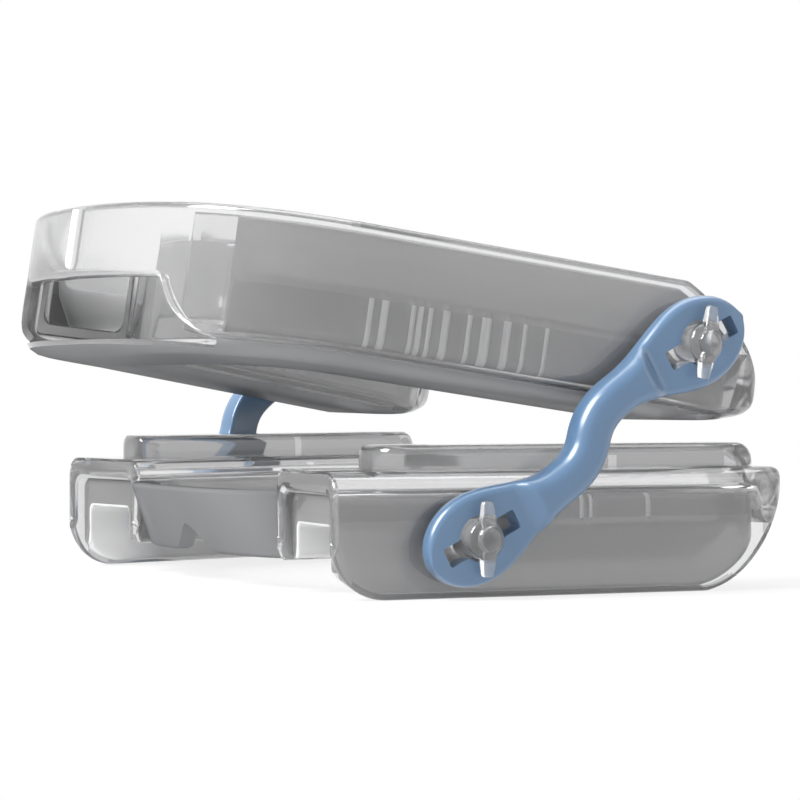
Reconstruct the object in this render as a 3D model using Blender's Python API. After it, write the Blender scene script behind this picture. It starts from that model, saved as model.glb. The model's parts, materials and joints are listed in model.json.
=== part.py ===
"""Anti-snoring mouthpiece: two tooth trays held apart by two S-shaped straps.

The upper and the lower tray are each a hard clear shell with a softer clear liner that
takes the print of the teeth. A strap on each side turns on a winged button of either
shell, so the lower jaw is held forward while the mouth can still open.

Sizes are in millimetres, and MM turns them into metres. X is the wearer's left, -Y the
front of the mouth and +Z up. A tray is first drawn lying flat with its plate below: Y
counts from the lower tray's datum towards the throat, and heights from the plate's face.
"""

import math

import bmesh
import bpy
import numpy as np
from mathutils import Euler, Matrix, Vector

MM = 0.001

# Walls and clearances
WALL = 1.2  # side walls of both shells
PLATE = 1.5  # plate under the teeth of both shells
FIT = 0.3  # gap between a liner and the shell round it
SKIRT = 1.2  # side walls of the liners
HEEL_WALL = 2.4  # closed end of each trough
HEEL_PLAN_RADIUS = 3.2  # corners of an arm's end, seen from above
RIM_RADIUS = 0.4  # outer edge of every rim
TROUGH_CORNER = 0.9  # rounding between a trough's floor and its walls

# Upper tray, lying flat
UPPER_FRONT = -7.2  # Y of the face behind the upper lip, at the midline
UPPER_FRONT_DEPTH = 9.6  # from that face to the tongue side
FRONT_FULLNESS = (0.62, 0.65)  # how square the front is: shares of its width and of its depth
UPPER_SHOULDER = (24.2, 8.0)  # where the front curve runs into the arm, cheek side
UPPER_SHOULDER_TONGUE = (12.9, 11.0)
UPPER_HEEL = (31.3, 42.0)
UPPER_HEEL_TONGUE = (20.4, 42.0)
UPPER_CHEEK_HEIGHT = 11.4
UPPER_TONGUE_HEIGHT = 9.4
UPPER_CHANNEL = 6.2  # floor of the tooth channel
UPPER_SKIRT_DROP = 1.3  # liner's edge below the shell's rim
UPPER_EDGES = (2.6, 2.0)  # rounding of the plate's edges, cheek and tongue side
FRONT_EDGE = 4.2  # rounding of the cheek-side edge at the midline
FRONT_TROUGH_CORNER = 2.2  # rounding inside that edge
FRONT_EDGE_HALF = 17.0  # distance from the midline over which both fall to the usual
BELLY_DROP = 0.8  # how much lower the plate bulges at the midline
BELLY_HALF = 18.0  # distance from the midline at which the bulge has died away

# Liners of the upper tray, one in each arm: a thin flap leads to the full section
UPPER_LINER_START = 14.3  # X of the front end, cheek side
LINER_LEAD = 3.3  # length of the flap
LINER_LEAD_SHARE = 0.4  # thickness of its walls as a share of SKIRT
LINER_TOE_THICK = 1.0  # thickness of its floor
LINER_NOSE = 3.4  # how far the full section is undercut at its front

# Window in the front wall, for breathing, and the midline mark over it
WINDOW_LOW = 0.35
WINDOW_HIGH = 5.4
WINDOW_HALF_LOW = 18.1
WINDOW_HALF_HIGH = 12.9
WINDOW_CORNER = 0.6
WINDOW_HOLLOW = 0.8  # how far its slanted sides curve in
WINDOW_DEPTH = 7.4  # how far it cuts behind the front face
WINDOW_PASS = 2.5  # least reach of the cut behind the face at the window's foot
WINDOW_LIP = 0.7  # bevel along its upper edge
MARK_WIDTH = 0.9
MARK_LENGTH = 5.0
MARK_PROUD = 0.45

# Lower tray, lying flat
LOWER_SHOULDER = (25.0, 5.1)  # front end of an arm, cheek side
LOWER_SHOULDER_TONGUE = (13.0, 6.4)
LOWER_HEEL = (31.3, 44.0)
LOWER_HEEL_TONGUE = (20.0, 44.0)
LOWER_CHEEK_HEIGHT = 10.0
LOWER_TONGUE_HEIGHT = 7.4
LOWER_CHANNEL = 4.4
LOWER_SKIRT_DROP = 1.0
LOWER_EDGES = (1.6, 1.2)
LOWER_LINER_SETBACK = 0.8  # liner's front end behind the shell's
ARM_FRONT_ROUND = 4.4  # lower front corner of an arm, seen from the side
LOWER_HEEL_SLANT = 8.0  # length over which the heel's lower edge rises
LOWER_HEEL_BEND = 5.0  # height at which the heel is steepest

# Ramp behind the lower front teeth, over the resting plane
RAMP_TOP = 8.2
RAMP_BOTTOM = 2.6
RAMP_LIP = 3.0  # Y of its lip at the midline
RAMP_LIP_HALF = 9.0  # reach of the lip's straight middle to either side
RAMP_LEAN = 3.0  # how much further back its lower edge lies
RAMP_WALL = 1.5
RAMP_CORNER = (14.2, 4.0)
RAMP_END = (15.3, 13.0)
FRENUM_HEIGHT = 2.4  # notch for the cord under the tongue
FRENUM_HALF = 4.6  # half its width at the foot

# Bite pads on the lower tray
PAD_HEIGHT = 2.0
PAD_WIDTH = 5.6
PAD_FROM_CHEEK = 3.9  # its middle line from the cheek side of the arm
PAD_START = 9.8
PAD_END = 42.6
PAD_CORNER = 2.0
PAD_ROUND = 0.9

# Buttons
LOWER_BUTTON = (16.0, 4.8)  # Y and height over the resting plane
UPPER_BUTTON = (34.0, 6.3)  # on the upper tray lying flat: Y and height over the plate
UPPER_PLACE = (35.0, 20.1)  # Y and height of that button on the finished mouthpiece
UPPER_TILT = 9.0  # degrees that the upper tray's front is raised
NECK_RADIUS = 1.6
WING_HALF = 2.95
WING_WIDTH = 1.35
WING_THICK = 0.8
WING_EVEN = 0.4  # share of a wing's length before it tapers
WING_TAPER = 0.3  # share by which its width and thickness fall to the tip
DOME_RADIUS = 1.1
DOME_RISE = 0.45  # over the wings

# Straps
STRAP_GAP = 0.8  # between a shell's wall and the strap
EYELET_THICK = 1.5
WING_GAP = 0.5  # between an eyelet and the wings that hold it
HOLE_CLEARANCE = 0.25  # round the neck
EYELET_HALF = 3.8  # half width across the strap
EYELET_REACH = 4.3  # past the button
TIP_ANGLE = 82.0  # how much of the quarter circle at an eyelet's tip is drawn, in degrees
SLOT_HALF = 3.3  # slots that let the wings through
SLOT_WIDTH = 1.6
SLOT_TURN = 28.0  # degrees from the horizontal
SHAFT_THICK = 2.6
SHAFT_WIDTH = 3.2
NECKING = 8.0  # distance over which an eyelet narrows to the shaft
STEP_START = 4.4  # sloped step between eyelet and shaft
STEP_LENGTH = 1.4
LEAVE_ANGLE = 30.0  # strap's direction at its eyelets, in degrees
LEAVE_SHARE = 0.31  # its handle as a share of the distance between the buttons
WAIST_ANGLE = 78.0  # and at its middle
WAIST_SHARE = 0.13

# Fineness of the facets
FRONT_STATIONS = 11
ARM_STATIONS = 7
ROUND_STATIONS = 4
CORNER_STEPS = 3
STRAP_STATIONS = 11
ROUND_SIDES = 24
CLEAR = 1.0  # how far a cutter reaches past what it cuts


def clear_scene():
    for thing in list(bpy.data.objects):
        bpy.data.objects.remove(thing, do_unlink=True)


def collection(name):
    group = bpy.data.collections.new(name)
    bpy.context.scene.collection.children.link(group)
    return group


def plastic(name, colour, roughness, alpha=1.0):
    material = bpy.data.materials.new(name)
    material.use_nodes = True
    shader = material.node_tree.nodes["Principled BSDF"]
    shader.inputs["Base Color"].default_value = (*colour, 1.0)
    shader.inputs["Roughness"].default_value = roughness
    shader.inputs["Metallic"].default_value = 0.0
    shader.inputs["Alpha"].default_value = alpha
    return material


def hinge(name, y, z, tilt=0.0):
    """Empty on a pair of buttons' common axis, which runs along X."""
    empty = bpy.data.objects.new(name, None)
    empty.empty_display_size = 5 * MM
    empty.location = (0.0, y * MM, z * MM)
    empty.rotation_euler = (math.radians(-tilt), 0.0, 0.0)
    bpy.context.scene.collection.objects.link(empty)
    return empty


def fitted(obj, group, parent, material):
    """Link a finished piece, hang it on its hinge and give it its plastic."""
    group.objects.link(obj)
    obj.parent = parent
    obj.data.materials.append(material)
    obj.data.shade_smooth()
    obj.data.set_sharp_from_angle(angle=math.radians(35))
    return obj


def cleaned(work, name):
    """Object from a bmesh whose doubles are merged and whose faces look outwards."""
    bmesh.ops.remove_doubles(work, verts=work.verts, dist=0.001 * MM)
    bmesh.ops.recalc_face_normals(work, faces=work.faces)
    mesh = bpy.data.meshes.new(name)
    work.to_mesh(mesh)
    work.free()
    return bpy.data.objects.new(name, mesh)


def loft(name, rings):
    """Skin over an array of rings (stations, ring points, 3) in millimetres, ends closed."""
    stations, around = rings.shape[:2]
    work = bmesh.new()
    points = [work.verts.new(Vector(p) * MM) for p in rings.reshape(-1, 3)]
    for i in range(stations - 1):
        for j in range(around):
            a, b = i * around + j, i * around + (j + 1) % around
            work.faces.new((points[a], points[b], points[b + around], points[a + around]))
    work.faces.new(points[:around])
    work.faces.new(points[-around:])
    return cleaned(work, name)


def outline_solid(name, outline, half, turn, centre):
    """Flat outline of points, carried half to either side, then turned and moved."""
    curve = bpy.data.curves.new(name, "CURVE")
    curve.dimensions = "2D"
    curve.fill_mode = "BOTH"
    curve.extrude = half * MM
    line = curve.splines.new("POLY")
    line.points.add(len(outline) - 1)
    for point, (a, b) in zip(line.points, outline):
        point.co = (a * MM, b * MM, 0.0, 1.0)
    line.use_cyclic_u = True
    drawn = bpy.data.objects.new(name, curve)
    bpy.context.scene.collection.objects.link(drawn)
    graph = bpy.context.evaluated_depsgraph_get()
    mesh = bpy.data.meshes.new_from_object(drawn.evaluated_get(graph))
    bpy.data.objects.remove(drawn, do_unlink=True)
    mesh.transform(Matrix.Translation(Vector(centre) * MM) @ turn.to_matrix().to_4x4())
    work = bmesh.new()
    work.from_mesh(mesh)
    return cleaned(work, name)


ACROSS = Euler((math.pi / 2, 0.0, math.pi / 2))  # outline in Y and Z, carried along X
FACING = Euler((math.pi / 2, 0.0, 0.0))  # outline in X and Z, carried along Y


def boolean(obj, other, operation, cutters):
    """Join, cut or trim a piece by another, which becomes a hidden cutter."""
    cutters.objects.link(other)
    other.parent = obj.parent
    other.hide_render = True
    other.display_type = "WIRE"
    step = obj.modifiers.new(other.name, "BOOLEAN")
    step.operation = operation
    step.solver = "EXACT"
    step.object = other


def bezier(points, count):
    """Cubic curve between the first and last of four points, as an array."""
    t = np.linspace(0.0, 1.0, count)[:, None]
    a, b, c, d = (np.array(p, float) for p in points)
    return (1 - t) ** 3 * a + 3 * (1 - t) ** 2 * t * b + 3 * (1 - t) * t**2 * c + t**3 * d


def arc(centre, radius, start, end, count):
    """Points of a circular arc, its angles in degrees."""
    turns = np.radians(np.linspace(start, end, count))
    return [(centre[0] + radius * math.cos(a), centre[1] + radius * math.sin(a)) for a in turns]


def narrowed(cheek, tongue, by):
    """Two rails drawn towards each other, each by the given distances."""
    across = cheek - tongue
    across /= np.linalg.norm(across, axis=1)[:, None]
    by = np.broadcast_to(by, len(cheek))[:, None]
    return cheek - across * by, tongue + across * by


def arm_rails(shoulders, heels, inset=0.0, end_gap=0.0, radius=HEEL_PLAN_RADIUS, lead=0.0):
    """Cheek-side and tongue-side rail of one arm, its heel rounded in plan.

    inset moves both rails into the tray, end_gap shortens the heel, and lead lengthens
    the front end.
    """
    cheek, tongue = (np.array(p, float) for p in shoulders)
    cheek_run, tongue_run = (np.array(p, float) - s for p, s in zip(heels, (cheek, tongue)))
    length = np.linalg.norm(cheek_run)
    straight = length - end_gap - radius
    turn = np.linspace(0.0, math.pi / 2, ROUND_STATIONS + 1)[1:]
    along = np.concatenate([np.linspace(-lead, straight, ARM_STATIONS), straight + radius * np.sin(turn)])
    drawn_in = np.concatenate([np.zeros(ARM_STATIONS), radius * (1 - np.cos(turn))])
    share = (along / length)[:, None]
    return narrowed(cheek + cheek_run * share, tongue + tongue_run * share, inset + drawn_in)


def front_rail(front, shoulder, heel, across, along):
    """Half of a tray's front, from the midline to the shoulder, where it joins the arm."""
    run = np.array(heel) - np.array(shoulder)
    run /= np.linalg.norm(run)
    before = np.array(shoulder) - run * (shoulder[1] - front) * along
    return bezier([(0.0, front), (shoulder[0] * across, front), before, shoulder], FRONT_STATIONS)


def upper_half_rails(inset=0.0, end_gap=0.0, radius=HEEL_PLAN_RADIUS):
    """Both rails of the upper tray's left half, from the midline round to the heel."""
    tongue_front = UPPER_FRONT + UPPER_FRONT_DEPTH
    cheek = front_rail(UPPER_FRONT, UPPER_SHOULDER, UPPER_HEEL, *FRONT_FULLNESS)
    tongue = front_rail(tongue_front, UPPER_SHOULDER_TONGUE, UPPER_HEEL_TONGUE, *FRONT_FULLNESS)
    cheek, tongue = narrowed(cheek, tongue, inset)
    shoulders = (UPPER_SHOULDER, UPPER_SHOULDER_TONGUE)
    heels = (UPPER_HEEL, UPPER_HEEL_TONGUE)
    arm = arm_rails(shoulders, heels, inset, end_gap, radius)
    return np.vstack([cheek[:-1], arm[0]]), np.vstack([tongue[:-1], arm[1]])


def with_mirror(half):
    """A line from the midline to its left end, led on from its mirror image on the right."""
    return np.vstack([half[:0:-1] * np.array([-1.0, 1.0]), half])


def beyond(rails, start):
    """What is left of an upper half's rails past the X where the cheek-side one has got so far."""
    place = np.interp(start, rails[0][:FRONT_STATIONS, 0], np.arange(FRONT_STATIONS))
    before, share = int(place), place % 1.0
    return tuple(
        np.vstack([rail[before] * (1 - share) + rail[before + 1] * share, rail[before + 1 :]])
        for rail in rails
    )


def between(rails, section, drop=0.0):
    """Rings between two rails. A section point is (rail, offset into the tray, height).

    Below the rim the rings are stretched downwards, by drop at the plate's face.
    """
    cheek, tongue = rails
    across = cheek - tongue
    across /= np.linalg.norm(across, axis=1)[:, None]
    rings = np.zeros((len(cheek), len(section), 3))
    for k, (rail, offset, height) in enumerate(section):
        aside = across * np.broadcast_to(offset, len(cheek))[:, None]
        rings[:, k, :2] = cheek - aside if rail == "cheek" else tongue + aside
        rings[:, k, 2] = height - drop * np.clip(1 - height / UPPER_CHEEK_HEIGHT, 0.0, 1.0)
    return rings


def front_share(rails):
    """1 at the midline, falling to 0 at FRONT_EDGE_HALF."""
    return 1.0 - smooth(np.abs(rails[0][:, 0]) / FRONT_EDGE_HALF)


def belly(rails):
    """How far the upper plate bulges down at each station."""
    share = (rails[0] + rails[1])[:, 0] / 2 / BELLY_HALF
    return BELLY_DROP * np.clip(1 - share**2, 0.0, 1.0)


def smooth(share):
    """Share of the way, from 0 to 1, eased at both ends."""
    share = np.clip(share, 0.0, 1.0)
    return share * share * (3 - 2 * share)


def corner(rail, radius, floor, rising):
    """Quarter circle from a floor up into the wall of a rail, or down out of it."""
    turns = np.linspace(0.0, math.pi / 2, CORNER_STEPS + 1)
    points = [
        (rail, radius * (1 - math.sin(a)), floor + radius * (1 - math.cos(a))) for a in turns
    ]
    return points if rising else points[::-1]


def rim(rail, height, rising):
    """Rounded outer edge of a rim, and the flat behind it."""
    soft = RIM_RADIUS * 0.3
    points = [
        (rail, 0.0, height - RIM_RADIUS),
        (rail, soft, height - soft),
        (rail, RIM_RADIUS, height),
        (rail, WALL * 1.8, height),
    ]
    return points if rising else points[::-1]


def shell_section(cheek_height, tongue_height, edges):
    """Outline of a shell before its trough is cut: the plate, and both walls to their rims."""
    return (
        corner("tongue", edges[1], 0.0, False)
        + corner("cheek", edges[0], 0.0, True)
        + rim("cheek", cheek_height, True)
        + rim("tongue", tongue_height, False)
    )


def trough_section(top, cheek_corner=TROUGH_CORNER):
    return (
        corner("tongue", TROUGH_CORNER, PLATE, False)
        + corner("cheek", cheek_corner, PLATE, True)
        + [("cheek", 0.0, top), ("tongue", 0.0, top)]
    )


def liner_section(cheek_top, tongue_top, channel, skirt=SKIRT):
    """A liner's outline: outside against the shell, inside the tooth channel."""
    floor = PLATE + FIT
    return (
        corner("tongue", TROUGH_CORNER, floor, False)
        + corner("cheek", TROUGH_CORNER, floor, True)
        + [("cheek", 0.0, cheek_top), ("cheek", skirt, cheek_top), ("cheek", skirt, channel)]
        + [("tongue", skirt, channel), ("tongue", skirt, tongue_top), ("tongue", 0.0, tongue_top)]
    )


def upper_frame(rings, side=1.0):
    """Points of the flat upper tray, or of one side's mirror image, in the frame of its buttons."""
    return rings * np.array([side, 1.0, 1.0]) - np.array([0.0, UPPER_BUTTON[0], UPPER_BUTTON[1]])


def lower_frame(rings, side):
    """Points of a flat lower arm turned plate up, on the resting plane."""
    turned = rings * np.array([side, 1.0, -1.0])
    return turned + np.array([0.0, 0.0, LOWER_CHEEK_HEIGHT])


def wall_at(shoulder, heel, y):
    """X of an arm's cheek-side face at a given Y."""
    return shoulder[0] + (heel[0] - shoulder[0]) * (y - shoulder[1]) / (heel[1] - shoulder[1])


def neck(name, start, end):
    work = bmesh.new()
    bmesh.ops.create_cone(
        work,
        cap_ends=True,
        segments=ROUND_SIDES,
        radius1=NECK_RADIUS * MM,
        radius2=NECK_RADIUS * MM,
        depth=(end - start) * MM,
        matrix=Matrix.Translation(((start + end) / 2 * MM, 0.0, 0.0))
        @ Matrix.Rotation(math.pi / 2, 4, "Y"),
    )
    return cleaned(work, name)


def wings(name, foot):
    """Two tapered paddles along Z in one bar, its inner face at foot."""
    reach = np.array([-1.0, -WING_EVEN, WING_EVEN, 1.0]) * WING_HALF
    tips = np.array([1.0, 0.0, 0.0, 1.0])
    half = WING_WIDTH / 2 * (1.0 - tips * WING_TAPER)
    top = foot + WING_THICK * (1.0 - tips * WING_TAPER)
    rings = np.zeros((4, 4, 3))
    for k, (across, outward) in enumerate(((-1, 0), (1, 0), (1, 1), (-1, 1))):
        rings[:, k, 0] = top if outward else foot
        rings[:, k, 1] = across * half
        rings[:, k, 2] = reach
    return loft(name, rings)


def dome(name, foot):
    """Rounded nub over the crossing of neck and wings."""
    around = np.linspace(0.0, 2 * math.pi, 16, endpoint=False)
    lift = np.array([0.0, 0.5, 0.82, 1.0])
    radius = DOME_RADIUS * np.sqrt(1.0 - 0.85 * lift**2)
    rings = np.zeros((len(lift), len(around), 3))
    rings[..., 0] = foot + (WING_THICK + DOME_RISE) * lift[:, None]
    rings[..., 1] = radius[:, None] * np.cos(around)
    rings[..., 2] = radius[:, None] * np.sin(around)
    return loft(name, rings)


def add_buttons(shell, name, wall, where, cutters):
    """A winged button on either side of a shell; where is its Y and Z in the shell's frame."""
    foot = wall + STRAP_GAP + EYELET_THICK + WING_GAP
    for side, word in ((1.0, "left"), (-1.0, "right")):
        pieces = [
            neck(f"{name}_{word}_neck", wall - WALL * 0.6, foot + WING_THICK * 0.4),
            wings(f"{name}_{word}_wings", foot),
            dome(f"{name}_{word}_dome", foot - WING_GAP * 0.5),
        ]
        for piece in pieces:
            piece.data.transform(Matrix.Translation((0.0, where[0] * MM, where[1] * MM)))
            if side < 0:
                piece.data.transform(Matrix.Diagonal((-1.0, 1.0, 1.0, 1.0)))
                piece.data.flip_normals()
            boolean(shell, piece, "UNION", cutters)


def upper_heel_outline():
    """Side view of the upper tray with its slanted, rounded heel, lying flat."""
    top, heel = UPPER_CHEEK_HEIGHT + CLEAR, UPPER_HEEL[1]
    slope = bezier([(heel - 8.6, top), (heel - 5.4, top - 2.4), (heel - 1.5, 6.2), (heel - 0.1, 3.0)], 8)
    toe = bezier([(heel - 0.1, 3.0), (heel + 0.3, 1.2), (heel - 1.8, 0.1), (heel - 4.6, -0.15)], 6)
    front = [(heel - 6.0, -CLEAR), (UPPER_FRONT - CLEAR, -CLEAR), (UPPER_FRONT - CLEAR, top)]
    return [tuple(p) for p in slope] + [tuple(p) for p in toe[1:]] + front


def lower_arm_outline():
    """Side view of a lower arm: rounded front corner below, slanted and rounded heel."""
    front, heel, top = LOWER_SHOULDER[1], LOWER_HEEL[1], LOWER_CHEEK_HEIGHT
    radius = ARM_FRONT_ROUND + 0.2
    front_corner = arc((front + ARM_FRONT_ROUND, ARM_FRONT_ROUND), radius, 180.0, 262.0, 7)
    heel_slope = bezier([(heel - LOWER_HEEL_SLANT, -0.15), (heel - 3.0, 0.3),
                         (heel - 0.4, LOWER_HEEL_BEND), (heel + 0.05, top - 1.0)], 8)
    heel_top = [(heel - 0.25, top - 0.25), (heel - 1.0, top + 0.1), (heel - 1.6, top + CLEAR)]
    below = [(front + ARM_FRONT_ROUND + 1.0, -CLEAR), (heel - LOWER_HEEL_SLANT - 1.0, -CLEAR)]
    above = [(front - 0.2, top + CLEAR)]
    return front_corner + below + [tuple(p) for p in heel_slope] + heel_top + above


def make_upper_shell(group, cutters, parent, material):
    rails = [with_mirror(half) for half in upper_half_rails()]
    cheek_edge = UPPER_EDGES[0] + (FRONT_EDGE - UPPER_EDGES[0]) * front_share(rails)
    section = shell_section(UPPER_CHEEK_HEIGHT, UPPER_TONGUE_HEIGHT, (cheek_edge, UPPER_EDGES[1]))
    rings = upper_frame(between(rails, section, belly(rails)))
    shell = fitted(loft("upper_shell", rings), group, parent, material)

    outline = np.array(upper_heel_outline()) - np.array(UPPER_BUTTON)
    width = UPPER_HEEL[0] + CLEAR
    side_view = outline_solid("upper_side_view", outline, width, ACROSS, (0, 0, 0))
    boolean(shell, side_view, "INTERSECT", cutters)

    rails = [with_mirror(half) for half in upper_half_rails(WALL, HEEL_WALL, HEEL_PLAN_RADIUS - WALL)]
    cheek_corner = TROUGH_CORNER + (FRONT_TROUGH_CORNER - TROUGH_CORNER) * front_share(rails)
    section = trough_section(UPPER_CHEEK_HEIGHT + CLEAR, cheek_corner)
    rings = upper_frame(between(rails, section, belly(rails)))
    boolean(shell, loft("upper_trough", rings), "DIFFERENCE", cutters)

    boolean(shell, window_cutter(), "DIFFERENCE", cutters)
    boolean(shell, midline_mark(), "UNION", cutters)
    wall = wall_at(UPPER_SHOULDER, UPPER_HEEL, UPPER_BUTTON[0])
    add_buttons(shell, "upper", wall, (0.0, 0.0), cutters)
    return shell


def window_outline(grown):
    """Points (x, height) of the window, its sides hollow. Only the upper edge is grown."""
    low, high = WINDOW_LOW, WINDOW_HIGH + grown
    corner = (WINDOW_HALF_LOW - WINDOW_CORNER, low + WINDOW_CORNER)
    foot = np.array([WINDOW_HALF_LOW, low + WINDOW_CORNER])
    head = np.array([WINDOW_HALF_HIGH + grown / 2, high - WINDOW_CORNER / 2])
    thirds = [foot + (head - foot) * share - WINDOW_HOLLOW for share in (1 / 3, 2 / 3)]
    side = [tuple(p) for p in bezier([foot, *thirds, head], 7)[1:]]
    along = np.linspace(0.0, 1.0, 8)[1:-1]
    below = [(corner[0] * share, low) for share in along]
    above = [((WINDOW_HALF_HIGH - WINDOW_CORNER / 2) * share, high) for share in along[::-1]]
    right = below + arc(corner, WINDOW_CORNER, -90.0, 0.0, 4) + side + above
    return np.array(right + [(-x, z) for x, z in reversed(right)])


def window_cutter():
    """Opening through the front wall only. It follows the wall, so its bevel is even."""
    face = front_rail(UPPER_FRONT, UPPER_SHOULDER, UPPER_HEEL, *FRONT_FULLNESS)
    foot = np.interp(WINDOW_HALF_LOW, face[:, 0], face[:, 1])
    rear = max(UPPER_FRONT + WINDOW_DEPTH, foot + WINDOW_PASS)
    flat_ends = [rear, None, None, UPPER_FRONT - 2 * CLEAR]
    rings = []
    for flat, ahead in zip(flat_ends, (0.0, -WINDOW_LIP, CLEAR, 0.0)):
        outline = window_outline(0.0 if len(rings) < 2 else WINDOW_LIP + CLEAR)
        y = np.interp(np.abs(outline[:, 0]), face[:, 0], face[:, 1]) - ahead
        if flat is not None:
            y[:] = flat
        rings.append(np.stack([outline[:, 0], y, outline[:, 1]], axis=1))
    return loft("front_window", upper_frame(np.array(rings)))


def midline_mark():
    """Small upright rib with a round foot, at the middle of the front wall."""
    half, top = MARK_WIDTH / 2, UPPER_CHEEK_HEIGHT - RIM_RADIUS
    outline = arc((0.0, top - MARK_LENGTH + half), half, 180.0, 360.0, 5) + [(half, top), (-half, top)]
    outline = np.array(outline) - np.array([0.0, UPPER_BUTTON[1]])
    depth = MARK_PROUD + WALL * 0.5
    middle = UPPER_FRONT - MARK_PROUD + depth / 2 - UPPER_BUTTON[0]
    return outline_solid("midline_mark", outline, depth / 2, FACING, (0, middle, 0))


def make_upper_liner(name, side, group, parent, material):
    """Channel for the side teeth of one half of the upper jaw, with a thin flap in front."""
    rails = upper_half_rails(WALL + FIT, HEEL_WALL + FIT, HEEL_PLAN_RADIUS - WALL - FIT)
    rails = beyond(rails, UPPER_LINER_START)
    steps = np.linalg.norm(np.diff(rails[0] + rails[1], axis=0), axis=1) / 2
    travelled = np.concatenate([[0.0], np.cumsum(steps)])
    stations = np.sort(np.append(travelled, [LINER_LEAD, LINER_LEAD + FIT]))
    rails = moved_along(rails, travelled, stations)
    flap = stations <= LINER_LEAD
    channel = np.where(flap, PLATE + FIT + LINER_TOE_THICK, UPPER_CHANNEL)
    skirt = SKIRT * np.where(flap, LINER_LEAD_SHARE, 1.0)
    heel_limit = upper_heel_height(rails[0][:, 1])
    cheek_top = np.minimum(UPPER_CHEEK_HEIGHT - UPPER_SKIRT_DROP, heel_limit)
    tongue_top = np.minimum(UPPER_TONGUE_HEIGHT - UPPER_SKIRT_DROP, heel_limit)
    section = liner_section(cheek_top, tongue_top, channel, skirt)
    rings = between(rails, section, belly(rails))

    # The flap's inside runs on under the full section, which undercuts its nose.
    under = stations + np.where(flap, LINER_NOSE * stations / LINER_LEAD, 0.0)
    deep = between(moved_along(rails, stations, under), section, belly(rails))
    floor_points = [k for k, point in enumerate(section) if point[2] is channel]
    rings[:, floor_points] = deep[:, floor_points]
    return fitted(loft(name, upper_frame(rings, side)), group, parent, material)


def moved_along(rails, travelled, stations):
    """Both rails at other distances from their start."""
    return tuple(
        np.stack([np.interp(stations, travelled, rail[:, axis]) for axis in (0, 1)], axis=1)
        for rail in rails
    )


def upper_heel_height(y):
    """Height that the slanted heel of the shell leaves for the liner's edge at each Y."""
    outline = np.array(upper_heel_outline()[:8])
    return np.interp(y, outline[:, 0], outline[:, 1]) - UPPER_SKIRT_DROP


def make_lower_shell(group, cutters, parent, material):
    shell = fitted(lower_arm("lower_shell", 1.0), group, parent, material)
    boolean(shell, lower_arm("lower_right_arm", -1.0), "UNION", cutters)
    width = LOWER_HEEL[0] + CLEAR
    side_view = outline_solid("lower_side_view", lower_arm_outline(), width, ACROSS, (0, 0, 0))
    boolean(shell, side_view, "INTERSECT", cutters)
    boolean(shell, ramp(), "UNION", cutters)
    for side, word in ((1.0, "left"), (-1.0, "right")):
        rails = arm_rails(
            (LOWER_SHOULDER, LOWER_SHOULDER_TONGUE),
            (LOWER_HEEL, LOWER_HEEL_TONGUE),
            WALL,
            HEEL_WALL,
            HEEL_PLAN_RADIUS - WALL,
            lead=3 * CLEAR,
        )
        rings = lower_frame(between(rails, trough_section(LOWER_CHEEK_HEIGHT + CLEAR)), side)
        boolean(shell, loft(f"lower_{word}_trough", rings), "DIFFERENCE", cutters)
        boolean(shell, bite_pad(f"bite_pad_{word}", side), "UNION", cutters)
    boolean(shell, frenum_notch(), "DIFFERENCE", cutters)
    wall = wall_at(LOWER_SHOULDER, LOWER_HEEL, LOWER_BUTTON[0])
    add_buttons(shell, "lower", wall, LOWER_BUTTON, cutters)
    return shell


def lower_arm(name, side):
    rails = arm_rails((LOWER_SHOULDER, LOWER_SHOULDER_TONGUE), (LOWER_HEEL, LOWER_HEEL_TONGUE))
    section = shell_section(LOWER_CHEEK_HEIGHT, LOWER_TONGUE_HEIGHT, LOWER_EDGES)
    return loft(name, lower_frame(between(rails, section), side))


def ramp():
    """Leaning wall behind the lower front teeth, curving back into both arms."""
    lip = bezier([(0.0, RAMP_LIP), (RAMP_LIP_HALF, RAMP_LIP), RAMP_CORNER, RAMP_END], FRONT_STATIONS)
    share = np.linspace(1.0, 0.0, FRONT_STATIONS) ** 0.5
    foot = lip + np.array([0.0, RAMP_LEAN]) * share[:, None]
    lip, foot = with_mirror(lip), with_mirror(foot)
    along = np.gradient(lip, axis=0)
    inward = np.stack([-along[:, 1], along[:, 0]], axis=1)
    inward /= np.linalg.norm(inward, axis=1)[:, None]
    thick = RAMP_WALL * (0.55 + 0.45 * np.concatenate([share[:0:-1], share]))[:, None]
    bead = RAMP_WALL * 0.3
    rings = np.zeros((len(lip), 6, 3))
    places = (
        (foot, 0.0, RAMP_BOTTOM),
        (foot, 1.0, RAMP_BOTTOM),
        (lip, 1.0, RAMP_TOP - bead),
        (lip, 0.75, RAMP_TOP),
        (lip, 0.25, RAMP_TOP),
        (lip, 0.0, RAMP_TOP - bead),
    )
    for k, (edge, depth, height) in enumerate(places):
        rings[:, k, :2] = edge + inward * thick * depth
        rings[:, k, 2] = height
    return loft("ramp", rings)


def frenum_notch():
    """Bell-shaped arch under the middle of the ramp, carried along Y."""
    across = np.linspace(-1.0, 1.0, 15)
    height = RAMP_BOTTOM + FRENUM_HEIGHT * (1 - np.abs(across) ** 1.5) ** 2
    outline = [tuple(p) for p in np.stack([across * FRENUM_HALF, height], axis=1)]
    outline += [(FRENUM_HALF, RAMP_BOTTOM - CLEAR), (-FRENUM_HALF, RAMP_BOTTOM - CLEAR)]
    middle = RAMP_LIP + RAMP_LEAN
    return outline_solid("frenum_notch", outline, 2 * RAMP_LEAN, FACING, (0, middle, 0))


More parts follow.
